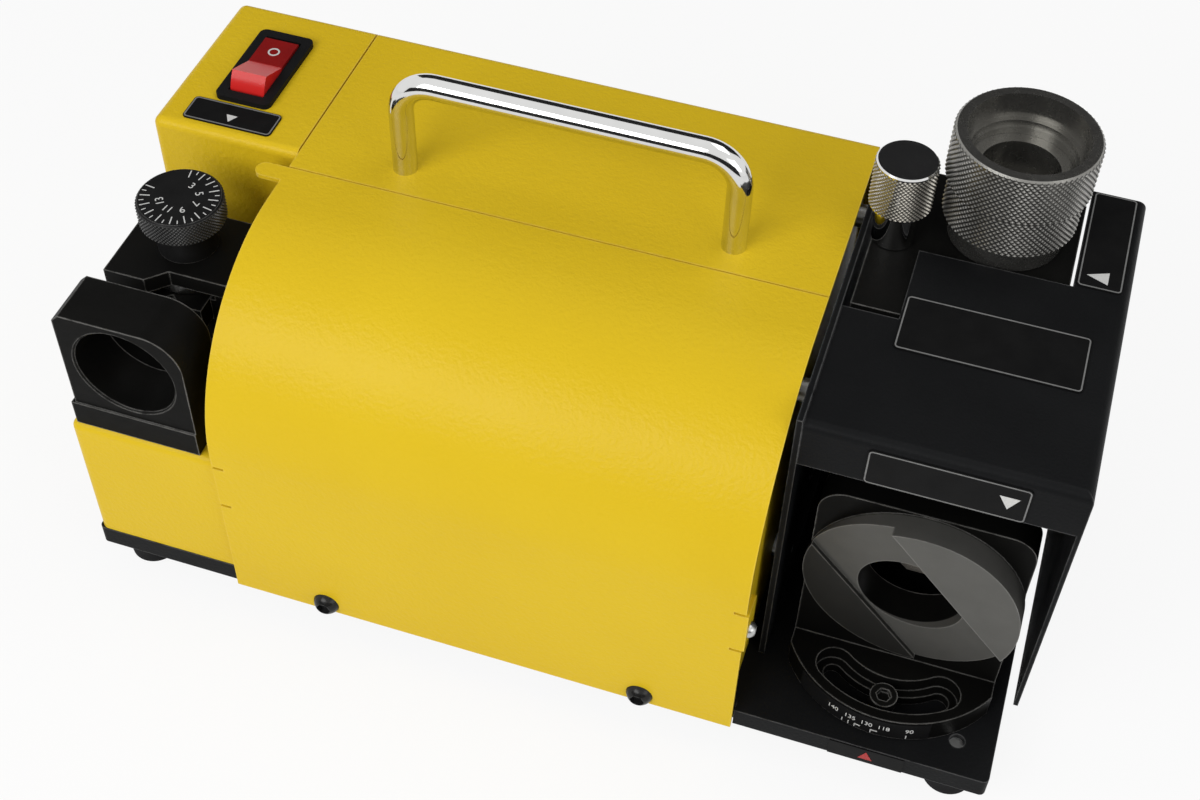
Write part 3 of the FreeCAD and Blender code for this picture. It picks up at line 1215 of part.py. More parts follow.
def relief_bracket():
    bracket = box(RELIEF_LEFT, RELIEF_RIGHT, RELIEF_FRONT, RELIEF_BACK, RELIEF_BOTTOM, RELIEF_TOP)
    web = box(RELIEF_LEFT, RELIEF_RIGHT, RELIEF_BACK - RELIEF_WEB, RELIEF_BACK, BASE_TOP, RELIEF_BOTTOM)
    bracket = bracket.fuse(web).removeSplitter()
    bracket = hole(bracket, V(WHEEL_X, PORT_Y, RELIEF_BOTTOM), Z_DIR, PORT_RADIUS, RELIEF_THICK)
    stud = V(KNOB_X, KNOB_Y, RELIEF_TOP - KNOB_STUD_GRIP - RUN)
    bracket = hole(bracket, stud, Z_DIR, M6_SHANK + SLIP, KNOB_STUD_GRIP + RUN)
    screws = []
    for x in RELIEF_SCREW_XS:
        bracket = hole(bracket, V(x, RELIEF_SCREW_Y, BASE_TOP), Z_DIR, M5_SHANK + SLIP, THREAD_GRIP)
        seat = V(x, RELIEF_SCREW_Y, BASE_BOTTOM + M5_HEAD_H)
        screws.append(screw(seat, Z_DIR, M5, BASE_THICK - M5_HEAD_H + THREAD_GRIP))
    write("relief_bracket", bracket)
    write("relief_screws", *screws)


def clamp_knob():
    top = KNOB_NECK_H + KNOB_HEIGHT
    profile = [
        (0, -KNOB_STUD_GRIP),
        (M6_SHANK, -KNOB_STUD_GRIP),
        (M6_SHANK, 0),
        (KNOB_NECK, 0),
        (KNOB_NECK, KNOB_NECK_H),
        (KNOB_RADIUS - KNOB_EDGE, KNOB_NECK_H),
        (KNOB_RADIUS, KNOB_NECK_H + KNOB_EDGE),
        (KNOB_RADIUS, top - KNOB_EDGE),
        (KNOB_RADIUS - KNOB_EDGE, top),
        (0, top),
    ]
    write("clamp_knob", turned(V(KNOB_X, KNOB_Y, RELIEF_TOP + RUN), Z_DIR, profile))


def collet_chuck():
    seat = V(WHEEL_X, PORT_Y, CHUCK_SEAT)
    grip_top = COLLAR_HEIGHT + GRIP_HEIGHT
    neck_top = grip_top + NECK_HEIGHT
    seat_rim = -NOSE_LENGTH + COLLET_RIM
    small_end = -NOSE_LENGTH + COLLET_LENGTH
    bore = COLLET_SMALL + SLIP
    profile = [
        (COLLET_BIG + SLIP, -NOSE_LENGTH),
        (CHUCK_NOSE, -NOSE_LENGTH),
        (CHUCK_NOSE, 0),
        (CHUCK_COLLAR, 0),
        (CHUCK_COLLAR, COLLAR_HEIGHT),
        (CHUCK_GRIP - CHUCK_EDGE, COLLAR_HEIGHT),
        (CHUCK_GRIP, COLLAR_HEIGHT + CHUCK_EDGE),
        (CHUCK_GRIP, grip_top - CHUCK_EDGE),
        (CHUCK_GRIP - CHUCK_EDGE, grip_top),
        (NECK_RADIUS, grip_top),
        (NECK_RADIUS, neck_top),
        (NECK_BORE, neck_top),
        (NECK_BORE, small_end + COLLET_BACK),
        (bore, small_end + COLLET_BACK),
        (bore, small_end),
        (COLLET_BIG + SLIP, seat_rim),
    ]
    body = turned(seat, Z_DIR, profile)
    reach = CHUCK_NOSE + PAST
    flat = box(NOSE_FLAT, reach, -reach, reach, -NOSE_LENGTH - PAST, 0)
    flat.translate(seat)
    write("chuck_body", body.cut(flat))

    grip = collet(V(0, 0, 0), CHUCK_BORE / 2)
    grip.rotate(V(0, 0, 0), X_DIR, 180)
    grip.translate(seat + Z_DIR * small_end)
    write("chuck_collet", grip)

    ledge = NUT_HEIGHT - NUT_BORE_DEPTH
    shelf = (NECK_HEIGHT + ledge) / 2
    nut_bore = NUT_RADIUS - NUT_WALL
    step_bore = NECK_RADIUS + NUT_STEP
    nut_profile = [
        (NECK_RADIUS + SLIP, 0),
        (NUT_RADIUS - CHUCK_EDGE, 0),
        (NUT_RADIUS, CHUCK_EDGE),
        (NUT_RADIUS, NUT_HEIGHT - CHUCK_EDGE),
        (NUT_RADIUS - CHUCK_EDGE, NUT_HEIGHT),
        (nut_bore, NUT_HEIGHT),
        (nut_bore, ledge),
        (step_bore, ledge),
        (step_bore, shelf),
        (NECK_RADIUS + SLIP, shelf),
    ]
    write("chuck_nut", turned(seat + Z_DIR * (grip_top + RUN), Z_DIR, nut_profile))


def arc_sector(radius_in, radius_out, left_deg, right_deg, bottom, height):
    """Ring sector in front of the holder's pivot, from left_deg to right_deg off straight ahead."""
    start = 270 - left_deg
    sweep = left_deg + right_deg
    outer = Part.makeCylinder(radius_out, height, V(WHEEL_X, PIVOT_Y, bottom), Z_DIR, sweep)
    inner = Part.makeCylinder(radius_in, height, V(WHEEL_X, PIVOT_Y, bottom), Z_DIR, 360)
    ring = outer.cut(inner)
    ring.rotate(V(WHEEL_X, PIVOT_Y, 0), Z_DIR, start)
    return ring


def arc_slot(half_width, bottom, height):
    near_edge = SLOT_RADIUS - half_width
    far_edge = SLOT_RADIUS + half_width
    slot = arc_sector(near_edge, far_edge, SLOT_SWEEP_DEG, SLOT_SWEEP_DEG, bottom, height)
    for side in (-1, 1):
        angle = math.radians(270 + side * SLOT_SWEEP_DEG)
        end = V(WHEEL_X + SLOT_RADIUS * math.cos(angle), PIVOT_Y + SLOT_RADIUS * math.sin(angle), bottom)
        slot = slot.fuse(rod(end, Z_DIR, half_width, height))
    return slot.removeSplitter()


def across_ring(bore_z, rise, proud):
    """Point on the ring: rise towards its high side from the bore's axis, proud of the plate's face."""
    turn = math.radians(RING_TURN_DEG)
    return V(WHEEL_X + rise * math.cos(turn), HOLDER_FACE - proud, bore_z + rise * math.sin(turn))


def along_chord():
    turn = math.radians(RING_TURN_DEG)
    return V(math.sin(turn), 0, -math.cos(turn))


def cam_ring(bore_z):
    """Round boss whose face is a sloping cam between a high step on one side and a lip on the other."""
    reach = RING_RADIUS + SEAM
    slope = math.tan(math.radians(BAND_SLOPE_DEG))
    profile = [
        (-reach, 0),
        (-reach, LIP_END),
        (-LIP_PLACE, LIP_PROUD),
        (-LIP_PLACE, BAND_PROUD - LIP_PLACE * slope),
        (RING_STEP, BAND_PROUD + RING_STEP * slope),
        (RING_STEP, RING_PROUD),
        (reach, RING_PROUD),
        (reach, 0),
    ]
    start = along_chord() * -reach
    points = [across_ring(bore_z, rise, proud) + start for rise, proud in profile]
    cam = slab(points, along_chord() * (2 * reach))
    return cam.common(rod(V(WHEEL_X, HOLDER_FACE, bore_z), Y_DIR * -1, RING_RADIUS, RING_PROUD))


def keyed_bore(bore_z):
    """Chuck bore with a flat that matches the flat on the chuck's nose."""
    flat = NOSE_FLAT + RUN
    length = HOLDER_PLATE + RING_PROUD
    bore = rod(V(WHEEL_X, HOLDER_FACE - RING_PROUD, bore_z), Y_DIR, PORT_RADIUS, length)
    reach = PORT_RADIUS + PAST
    start = along_chord() * -reach
    sides = [(flat, RING_PROUD), (reach, RING_PROUD), (reach, -HOLDER_PLATE), (flat, -HOLDER_PLATE)]
    points = [across_ring(bore_z, rise, proud) + start for rise, proud in sides]
    return bore.cut(slab(points, along_chord() * (2 * reach)))


def point_holder():
    bottom = BASE_TOP + HOLDER_LIFT
    foot_top = bottom + HOLDER_FOOT
    left = WHEEL_X - HOLDER_HALF
    right = WHEEL_X + HOLDER_HALF
    bore_z = SPINDLE_Z
    arc = SLOT_RADIUS + SLOT_EDGE
    foot = rod(V(WHEEL_X, PIVOT_Y, bottom), Z_DIR, arc, HOLDER_FOOT)
    foot = foot.common(box(left, right, PIVOT_Y - arc - PAST, HOLDER_BACK, bottom, foot_top))
    heel_left = WHEEL_X - HOLDER_HEEL_HALF
    heel_right = WHEEL_X + HOLDER_HEEL_HALF
    heel = box(heel_left, heel_right, HOLDER_FACE, PIVOT_Y + HOLDER_HEEL, bottom, foot_top)
    top = bore_z + RING_RADIUS + HOLDER_CROWN
    plate = box(left, right, HOLDER_FACE, HOLDER_BACK, bottom, top)

    def top_corner(b):
        return near(b.YLength, HOLDER_PLATE) and near(b.ZMin, top)

    plate = plate.makeFillet(HOLDER_CORNER, edges_where(plate, top_corner))
    holder = foot.fuse([heel, plate, cam_ring(bore_z)]).removeSplitter()
    holder = holder.cut(keyed_bore(bore_z))
    holder = holder.cut(arc_slot(M6_SHANK + RUN, bottom - PAST, HOLDER_FOOT + 2 * PAST))
    holder = holder.cut(arc_slot(M6_HEAD + SLOT_ROOM, bottom + SLOT_FLOOR, HOLDER_FOOT + PAST))
    holder = hole(holder, V(WHEEL_X, PIVOT_Y, bottom), Z_DIR, PIVOT_PIN + SLIP, HOLDER_FOOT)
    write("point_holder", holder)

    strip = arc_sector(
        arc, arc + SCALE_THICK, SCALE_LEFT_DEG, SCALE_RIGHT_DEG,
        bottom + SCALE_MARGIN, HOLDER_FOOT - 2 * SCALE_MARGIN,
    )
    write("angle_scale", strip)

    pin = rod(V(WHEEL_X, PIVOT_Y, BASE_BOTTOM), Z_DIR, PIVOT_PIN, BASE_THICK + PIVOT_PIN_RISE)
    write("holder_pivot_pin", pin)
    seat = V(WHEEL_X, CLAMP_Y, bottom + SLOT_FLOOR + RUN)
    length = seat.z - BASE_BOTTOM
    write("clamp_bolt", screw(seat, Z_DIR * -1, M6, length))


def rounded_label(plate):
    corners = edges_where(plate, lambda b: near(b.DiagonalLength, LABEL_THICK))
    return plate.makeFillet(LABEL_ROUND, corners)


def marking_plates():
    tower_y = SWITCH_Y - BEZEL_LENGTH / 2 - TOWER_LABEL_GAP - TOWER_LABEL_WIDTH / 2
    tower_top = BODY_TOP + LABEL_THICK
    tower = upright(SWITCH_X, tower_y, TOWER_LABEL_LENGTH / 2, TOWER_LABEL_WIDTH / 2, BODY_TOP, tower_top)
    write("tower_label", rounded_label(tower))

    plate_x = WHEEL_X + TOP_LABEL_SHIFT
    plate_y = COVER_FRONT + TOP_LABEL_INSET
    label_top = COVER_TOP + LABEL_THICK
    top_plate = upright(plate_x, plate_y, TOP_LABEL_LENGTH / 2, TOP_LABEL_WIDTH / 2, COVER_TOP, label_top)
    relief = box(
        CUTOUT_RIGHT + RELIEF_LABEL_MARGIN, COVER_RIGHT - BEND,
        CUTOUT_FRONT + RELIEF_LABEL_MARGIN, COVER_BACK - RELIEF_LABEL_MARGIN,
        COVER_TOP, label_top,
    )
    fascia_x = WHEEL_X + FASCIA_LABEL_SHIFT
    fascia = box(
        fascia_x - FASCIA_LABEL_LENGTH / 2, fascia_x + FASCIA_LABEL_LENGTH / 2,
        COVER_FRONT - LABEL_THICK, COVER_FRONT,
        COVER_TOP - FASCIA_HEIGHT + FASCIA_LABEL_MARGIN, COVER_TOP - BEND - FASCIA_LABEL_MARGIN,
    )
    write("cover_labels", rounded_label(top_plate), rounded_label(relief), rounded_label(fascia))

    index_x = WHEEL_X + INDEX_SHIFT
    index = box(
        index_x - INDEX_LENGTH / 2, index_x + INDEX_LENGTH / 2, -LABEL_THICK, 0,
        BASE_BOTTOM + INDEX_MARGIN, BASE_TOP - INDEX_MARGIN,
    )
    write("index_plate", index)


os.makedirs("parts", exist_ok=True)
base_plate()
feet()
left_housing()
tab_screws()
rocker_switch()
power_inlet()
setting_block()
stop_and_dial()
body_cover()
end_plates()
front_lid()
lid_hinges()
carry_handle()
collet_store()
motor()
spindle()
side_plate()
wheel_cover()
relief_bracket()
clamp_knob()
collet_chuck()
point_holder()
marking_plates()
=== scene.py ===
"""Bench drill bit sharpener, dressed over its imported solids."""
import bpy
import bmesh
import json
import math
from mathutils import Matrix, Vector


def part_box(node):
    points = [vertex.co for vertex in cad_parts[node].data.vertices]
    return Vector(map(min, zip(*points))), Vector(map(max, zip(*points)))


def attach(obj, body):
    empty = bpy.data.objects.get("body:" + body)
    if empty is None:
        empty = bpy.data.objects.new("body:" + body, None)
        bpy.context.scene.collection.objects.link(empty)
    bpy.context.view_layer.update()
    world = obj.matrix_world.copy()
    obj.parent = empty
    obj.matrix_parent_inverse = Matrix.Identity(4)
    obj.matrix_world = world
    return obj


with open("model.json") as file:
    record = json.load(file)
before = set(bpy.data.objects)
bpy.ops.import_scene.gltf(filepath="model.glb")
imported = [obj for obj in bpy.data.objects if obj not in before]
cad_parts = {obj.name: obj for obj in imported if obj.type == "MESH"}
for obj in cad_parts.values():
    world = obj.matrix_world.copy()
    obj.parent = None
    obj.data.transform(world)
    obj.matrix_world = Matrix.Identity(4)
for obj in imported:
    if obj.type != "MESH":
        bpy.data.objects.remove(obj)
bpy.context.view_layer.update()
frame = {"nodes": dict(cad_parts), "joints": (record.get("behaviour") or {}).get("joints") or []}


# Yellow sheet panels: left housing, top and back cover, end plates and the curved front lid.
# Folded steel sheet, powder coated, so the paint has a fine orange peel and rubs through on folds.
# The housing and plates stand on screwed tabs, and the lid hangs on hinges in the base's front edge.
class Flow:
    """A node socket that takes part in sums."""

    EDGE_SAMPLES = 4
    EDGE_GAIN = 6.0
    CHIP_NOISE = (260.0, 4.0)
    CHIP_GAIN = 2.4
    CHIP_CUT = 0.6

    def __init__(self, tree, socket=None):
        self.tree = tree
        self.socket = socket

    def node(self, kind, settings=None, sockets=None, out=0):
        """Any node: its type, its settings, and the values or links of its sockets."""
        made = self.tree.nodes.new(kind)
        for key, value in (settings or {}).items():
            setattr(made, key, value)
        for key, value in (sockets or {}).items():
            if isinstance(value, Flow):
                self.tree.links.new(value.socket, made.inputs[key])
            else:
                made.inputs[key].default_value = value
        return Flow(self.tree, made.outputs[out] if len(made.outputs) else None)

    def math(self, operation, *values):
        return self.node("ShaderNodeMath", {"operation": operation}, dict(enumerate(values)))

    def __add__(self, other):
        return self.math("ADD", self, other)

    def __radd__(self, other):
        return self.math("ADD", other, self)

    def __sub__(self, other):
        return self.math("SUBTRACT", self, other)

    def __rsub__(self, other):
        return self.math("SUBTRACT", other, self)

    def __mul__(self, other):
        return self.math("MULTIPLY", self, other)

    def __rmul__(self, other):
        return self.math("MULTIPLY", other, self)

    def __truediv__(self, other):
        return self.math("DIVIDE", self, other)

    def clamp(self):
        return self.node("ShaderNodeClamp", {}, {"Value": self})

    def place(self):
        return self.node("ShaderNodeTexCoord", out="Object")

    def coordinate(self, axis):
        return self.node("ShaderNodeSeparateXYZ", {}, {0: self.place()}, out=axis)

    def noise(self, scale, detail=2.0):
        sockets = {"Vector": self.place(), "Scale": scale, "Detail": detail}
        return self.node("ShaderNodeTexNoise", {}, sockets)

    def blend(self, share, first, second):
        sockets = {0: share, 6: first, 7: second}
        return self.node("ShaderNodeMix", {"data_type": "RGBA"}, sockets, out=2)

    def bump(self, height, strength, distance):
        sockets = {"Strength": strength, "Distance": distance, "Height": height}
        return self.node("ShaderNodeBump", {}, sockets)

    def edge_wear_and_highlight_mask(self, radius):
        """Near 1 on sharp edges, broken up along their length."""
        round_normal = self.node("ShaderNodeBevel", {"samples": self.EDGE_SAMPLES}, {"Radius": radius})
        flat_normal = self.node("ShaderNodeNewGeometry", out="Normal")
        turned = {0: round_normal, 1: flat_normal}
        facing = self.node("ShaderNodeVectorMath", {"operation": "DOT_PRODUCT"}, turned, out="Value")
        chips = (self.noise(*self.CHIP_NOISE) * self.CHIP_GAIN - self.CHIP_CUT).clamp()
        return ((1 - facing) * self.EDGE_GAIN * chips).clamp()


def new_finish(name):
    material = bpy.data.materials.new(name)
    material.use_nodes = True
    material.node_tree.nodes.clear()
    return material, Flow(material.node_tree)


def surface(flow, sockets):
    shader = flow.node("ShaderNodeBsdfPrincipled", {}, sockets)
    flow.node("ShaderNodeOutputMaterial", {}, {"Surface": shader})


def dress(material, *names):
    for name in names:
        data = frame["nodes"][name].data
        data.materials.clear()
        data.materials.append(material)


YELLOW = (0.78, 0.545, 0.017, 1)
YELLOW_DEEP = (0.71, 0.475, 0.012, 1)
YELLOW_RUBBED = (0.86, 0.66, 0.16, 1)
YELLOW_GLOSS = 0.13
YELLOW_PATCH = (14.0, 3.0)
FOLD_RADIUS = 0.0008
FOLD_WEAR = 0.5
SHEEN_LEAST = 0.3
SHEEN_SPREAD = 0.1
SHEEN_PATCH = 60.0
PEEL = (640.0, 1.5)
PEEL_FINE = 1500.0
PEEL_FINE_SHARE = 0.25
PEEL_STRENGTH = 0.5
PEEL_DEPTH = 0.0004
yellow_coat, flow = new_finish("yellow_powder_coat")
peel = flow.noise(*PEEL) + flow.noise(PEEL_FINE) * PEEL_FINE_SHARE
tone = flow.blend(flow.noise(*YELLOW_PATCH), YELLOW_DEEP, YELLOW)
surface(flow, {
    "Base Color": flow.blend(flow.edge_wear_and_highlight_mask(FOLD_RADIUS) * FOLD_WEAR, tone, YELLOW_RUBBED),
    "Roughness": SHEEN_LEAST + flow.noise(SHEEN_PATCH) * SHEEN_SPREAD,
    "Normal": flow.bump(peel, PEEL_STRENGTH, PEEL_DEPTH),
    "Specular IOR Level": YELLOW_GLOSS,
})
dress(yellow_coat, "left_housing", "body_cover", "end_plate_left", "end_plate_right", "front_lid")


# Black sheet: base plate, side plate, wheel cover and collet tray.
# Steel plate and folded sheet in satin black paint with a light texture, chipped grey along its edges.
# The base carries everything on screws from below, and the cover is screwed to the side plate.
def mottled(name, dark, light, patch, rough, grain=None, edge_wear_and_highlight=None, metal=0.0, gloss=None):
    """A finish of two mixed tones.

    A noise is given by its scale and, where it isn't 2, its detail. patch is the noise that mixes
    the tones. rough holds the least roughness, its spread and the noise of that spread. grain
    holds the strength, depth and noise of a fine relief. edge_wear_and_highlight holds the radius,
    share and colour of lighter edges: rubbed wear, and on some finishes also a painted highlight.
    """
    material, flow = new_finish(name)
    tone = flow.blend(flow.noise(*patch), dark, light)
    if edge_wear_and_highlight:
        radius, share, edge_colour = edge_wear_and_highlight
        tone = flow.blend(flow.edge_wear_and_highlight_mask(radius) * share, tone, edge_colour)
    least, spread, *rough_noise = rough
    sockets = {
        "Base Color": tone,
        "Metallic": metal,
        "Roughness": least + flow.noise(*rough_noise) * spread,
    }
    if grain:
        strength, depth, *relief = grain
        sockets["Normal"] = flow.bump(flow.noise(*relief), strength, depth)
    if gloss is not None:
        sockets["Specular IOR Level"] = gloss
    surface(flow, sockets)
    return material


BLACK = (0.0055, 0.0057, 0.0062, 1)
BLACK_DUSTY = (0.011, 0.0114, 0.012, 1)
BARE_EDGE = (0.22, 0.22, 0.22, 1)
BLACK_GLOSS = 0.05
black_coat = mottled(
    "black_satin_paint", BLACK, BLACK_DUSTY, patch=(35.0, 4.0), rough=(0.33, 0.18, 90.0, 3.0),
    grain=(0.3, 0.0003, 1000.0), edge_wear_and_highlight=(0.0007, 0.55, BARE_EDGE), gloss=BLACK_GLOSS,
)
dress(black_coat, "base_plate", "side_plate", "wheel_cover", "collet_tray")


# Blackened machined pieces: setting block and trough, stop bracket and slide, relief bracket, clamp bolt.
# Milled and turned steel, phosphated and oiled dark grey, with tool marks and lighter edges, partly
# handled bare and partly a painted highlight.
# Block, trough and brackets are screwed down, and the lid's hinge knuckles are fixed to the lid.
PHOSPHATE = (0.0042, 0.0042, 0.0039, 1)
PHOSPHATE_PALE = (0.0095, 0.0093, 0.0086, 1)
PHOSPHATE_PATCH = (55.0, 4.0)
# Lighter steel on sharp edges: partly wear, partly a painted highlight along the edges.
EDGE_STEEL_AND_HIGHLIGHT = (0.3, 0.295, 0.28, 1)
EDGE_RADIUS = 0.0008
OIL_GLOSS = 0.035
phosphate = mottled(
    "phosphated_steel", PHOSPHATE, PHOSPHATE_PALE, patch=PHOSPHATE_PATCH, rough=(0.4, 0.16, 400.0, 3.0),
    grain=(0.14, 0.0002, 2200.0), edge_wear_and_highlight=(EDGE_RADIUS, 0.85, EDGE_STEEL_AND_HIGHLIGHT), metal=0.25, gloss=OIL_GLOSS,
)
dress(phosphate, "setting_block", "setting_trough", "stop_bracket", "stop_slide", "relief_bracket",
      "clamp_bolt", "lid_hinge_knuckles")


# Point-angle holder, with its cam ring and arc slot.
# Same phosphated steel, but the cam's faces are wiped bright by the chuck that rocks on them.
# It swings on a pin in the base and is held by the bolt through its arc slot.
CAM_GREY = (0.138, 0.136, 0.127, 1)
CAM_TURN = math.radians(41.3)
CAM_LIP = 0.018
CAM_RADIUS = 0.0353
CAM_CROWN = 0.0007
CAM_SETBACK = 0.0133
CAM_METAL = 0.5
CAM_EDGE_WEAR_AND_HIGHLIGHT = 0.9
CAM_ROUGH_LEAST = 0.36
CAM_ROUGH_SPREAD = 0.16
CAM_ROUGH_NOISE = (300.0, 3.0)
CAM_GRAIN = 1900.0
CAM_GRAIN_STRENGTH = 0.14
CAM_GRAIN_DEPTH = 0.0002
LIP_FADE = 3000.0
FOOT_FADE = 900.0
BEHIND_LIP = 0.22
WIPE_LEAST = 0.75
WIPE_NOISE = (90.0, 3.0)
holder_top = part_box("point_holder")[1].z
cam_steel, flow = new_finish("phosphated_cam_steel")
swivel = next(joint for joint in frame["joints"] if joint["name"] == "holder_swivel")
pivot = Vector(swivel["pos_m"])
across = flow.coordinate("X") - pivot.x
height = flow.coordinate("Z") - (holder_top - CAM_CROWN - CAM_RADIUS)
rise = across * math.cos(CAM_TURN) + height * math.sin(CAM_TURN)
beyond_lip = ((rise + CAM_LIP) * LIP_FADE).clamp()
on_front = ((pivot.y - CAM_SETBACK - flow.coordinate("Y")) * LIP_FADE).clamp()
above_foot = ((height + CAM_RADIUS) * FOOT_FADE).clamp()
wiped = (BEHIND_LIP + beyond_lip * (1 - BEHIND_LIP)) * on_front * above_foot
wipe_marks = WIPE_LEAST + flow.noise(*WIPE_NOISE) * (1 - WIPE_LEAST)
plain_tone = flow.blend(flow.noise(*PHOSPHATE_PATCH), PHOSPHATE, PHOSPHATE_PALE)
ring_tone = flow.blend(wiped * wipe_marks, plain_tone, CAM_GREY)
# Edges take the shared edge colour: partly wear, partly a painted highlight.
surface(flow, {
    "Base Color": flow.blend(flow.edge_wear_and_highlight_mask(EDGE_RADIUS) * CAM_EDGE_WEAR_AND_HIGHLIGHT, ring_tone, EDGE_STEEL_AND_HIGHLIGHT),
    "Metallic": CAM_METAL,
    "Specular IOR Level": OIL_GLOSS,
    "Roughness": CAM_ROUGH_LEAST + flow.noise(*CAM_ROUGH_NOISE) * CAM_ROUGH_SPREAD,
    "Normal": flow.bump(flow.noise(CAM_GRAIN), CAM_GRAIN_STRENGTH, CAM_GRAIN_DEPTH),
})
dress(cam_steel, "point_holder")


# Collet chuck: body and nut, and the diamond knurls on both.
# Turned steel, phosphated a paler grey, with the knurl rolled in: its grooves are painted dark as shade,
# and its tips and the piece's edges are rubbed bright and partly painted as highlights.
# The nose drops into the relief port, and the nut screws on the neck and closes the collet.
CHUCK_GREY = (0.28, 0.275, 0.257, 1)
CHUCK_DARK = (0.185, 0.18, 0.167, 1)
# Its edges take the shared edge colour: partly rubbed wear, partly a painted highlight on the steps.
chuck_steel = mottled(
    "phosphated_chuck_steel", CHUCK_DARK, CHUCK_GREY, patch=(70.0, 3.0), rough=(0.2, 0.12, 500.0, 3.0),
    grain=(0.12, 0.0002, 1700.0), edge_wear_and_highlight=(0.0006, 0.7, EDGE_STEEL_AND_HIGHLIGHT), metal=0.9,
)
dress(chuck_steel, "chuck_body", "chuck_nut")


def tree_with(name, inputs):
    tree = bpy.data.node_groups.new(name, "GeometryNodeTree")
    tree.interface.new_socket(name="Geometry", in_out="OUTPUT", socket_type="NodeSocketGeometry")
    for label, kind in inputs:
        tree.interface.new_socket(name=label, in_out="INPUT", socket_type="NodeSocket" + kind)
    return tree


def grow(name, tree, values):
    """Run a tree on an empty mesh, and keep the result as a plain mesh object at the origin."""
    carrier = bpy.data.objects.new(name + "_seed", bpy.data.meshes.new(name + "_seed"))
    bpy.context.scene.collection.objects.link(carrier)
    modifier = carrier.modifiers.new("grow", "NODES")
    modifier.node_group = tree
    for item in tree.interface.items_tree:
        if item.in_out == "INPUT":
            modifier[item.identifier] = values[item.name]
    graph = bpy.context.evaluated_depsgraph_get()
    mesh = bpy.data.meshes.new_from_object(carrier.evaluated_get(graph))
    carrier.modifiers.clear()
    bpy.data.objects.remove(carrier)
    mesh.name = name
    piece = bpy.data.objects.new(name, mesh)
    bpy.context.scene.collection.objects.link(piece)
    return piece


def ring_tree(name, extra):
    """Points on a cylinder in staggered rows, each carrying a copy of what the caller adds."""
    tree = tree_with(name, [
        ("Middle", "Vector"), ("Radius", "Float"), ("Length", "Float"), ("Around", "Int"),
        ("Rows", "Int"), ("Stagger", "Float"), ("Start", "Float"), ("Step", "Float"),
        ("Finish", "Material"),
    ] + extra)
    flow = Flow(tree)

    def size(label):
        return flow.node("NodeGroupInput", out=label)

    index = flow.node("GeometryNodeInputIndex")
    row = flow.math("FLOOR", index / size("Around"))
    column = index - row * size("Around") + size("Stagger") * flow.math("MODULO", row, 2.0)
    turn = size("Start") + column * size("Step")
    across = flow.math("COSINE", turn) * size("Radius")
    along = flow.math("SINE", turn) * size("Radius")
    rise = (row + 0.5) * size("Length") / size("Rows")
    spot = flow.node("ShaderNodeCombineXYZ", {}, {"X": across, "Y": along, "Z": rise})
    spot = flow.node("ShaderNodeVectorMath", {"operation": "ADD"}, {0: spot, 1: size("Middle")})
    count = size("Around") * size("Rows")
    points = flow.node("GeometryNodePoints", {}, {"Count": count, "Position": spot})
    return flow, size, points, turn, tree


def close_tree(flow, size, points, copy, rotation, scale):
    copies = flow.node("GeometryNodeInstanceOnPoints", {}, {
        "Points": points, "Instance": copy, "Rotation": rotation, "Scale": scale,
    })
    whole = flow.node("GeometryNodeRealizeInstances", {}, {"Geometry": copies})
    finish = {"Geometry": whole, "Material": size("Finish")}
    flow.node("NodeGroupOutput", {}, {0: flow.node("GeometryNodeSetMaterial", {}, finish)})


TOOTH_SIDES = 4
TOOTH_TIP = 0.12
TOOTH_FOOT = 1.0
TOOTH_SUNK = 0.1
flow, size, points, turn, knurl_tree = ring_tree("diamond_knurl", [("Tooth", "Float")])
tooth = flow.node("GeometryNodeMeshCone", {"fill_type": "NONE"}, {
    "Vertices": TOOTH_SIDES, "Radius Top": TOOTH_TIP, "Radius Bottom": TOOTH_FOOT,
    "Depth": size("Tooth"),
})
half_width = size("Radius") * size("Step") / 2.0
half_height = size("Length") / size("Rows")
close_tree(
    flow, size, points, tooth,
    flow.node("ShaderNodeCombineXYZ", {}, {"X": 0.0, "Y": math.pi / 2, "Z": turn}),
    flow.node("ShaderNodeCombineXYZ", {}, {"X": half_height, "Y": half_width, "Z": 1.0}),
)


def knurl(name, node, low, high, radius, pitch, tooth_height, finish, body):
    """Teeth round a piece between two heights, turned in staggered rows."""
    box_low, box_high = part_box(node)
    middle = (box_low + box_high) / 2
    around = round(2 * math.pi * radius / pitch)
    piece = grow(name, knurl_tree, {
        "Middle": (middle.x, middle.y, low), "Radius": radius - tooth_height * TOOTH_SUNK,
        "Length": high - low, "Around": around, "Rows": round(2 * (high - low) / pitch),
        "Stagger": 0.5, "Start": 0.0, "Step": 2 * math.pi / around,
        "Finish": finish, "Tooth": tooth_height,
    })
    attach(piece, body)


TIP_LEAST = 0.9
TIP_SPREAD = 0.5
TIP_NOISE = (300.0, 3.0)
TOOTH_ROUGH_LEAST = 0.26
TOOTH_ROUGH_SPREAD = 0.1
TOOTH_ROUGH_NOISE = 900.0


def knurl_finish(name, node, tooth_height, groove_shade, tip, metal):
    """Painted shade dark in the grooves, tips bright from wear and a painted highlight, by the distance
    from the piece's axis.
    """
    material, flow = new_finish(name)
    low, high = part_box(node)
    middle = (low + high) / 2
    across = flow.coordinate("X") - middle.x
    along = flow.coordinate("Y") - middle.y
    reach = flow.math("SQRT", across * across + along * along)
    share = ((reach - (high.x - low.x) / 2) / tooth_height).clamp()
    tip_wear_and_highlight_share = (share * (TIP_LEAST + flow.noise(*TIP_NOISE) * TIP_SPREAD)).clamp()
    surface(flow, {
        "Base Color": flow.blend(tip_wear_and_highlight_share, groove_shade, tip),
        "Metallic": metal,
        "Roughness": TOOTH_ROUGH_LEAST + flow.noise(TOOTH_ROUGH_NOISE) * TOOTH_ROUGH_SPREAD,
    })
    return material
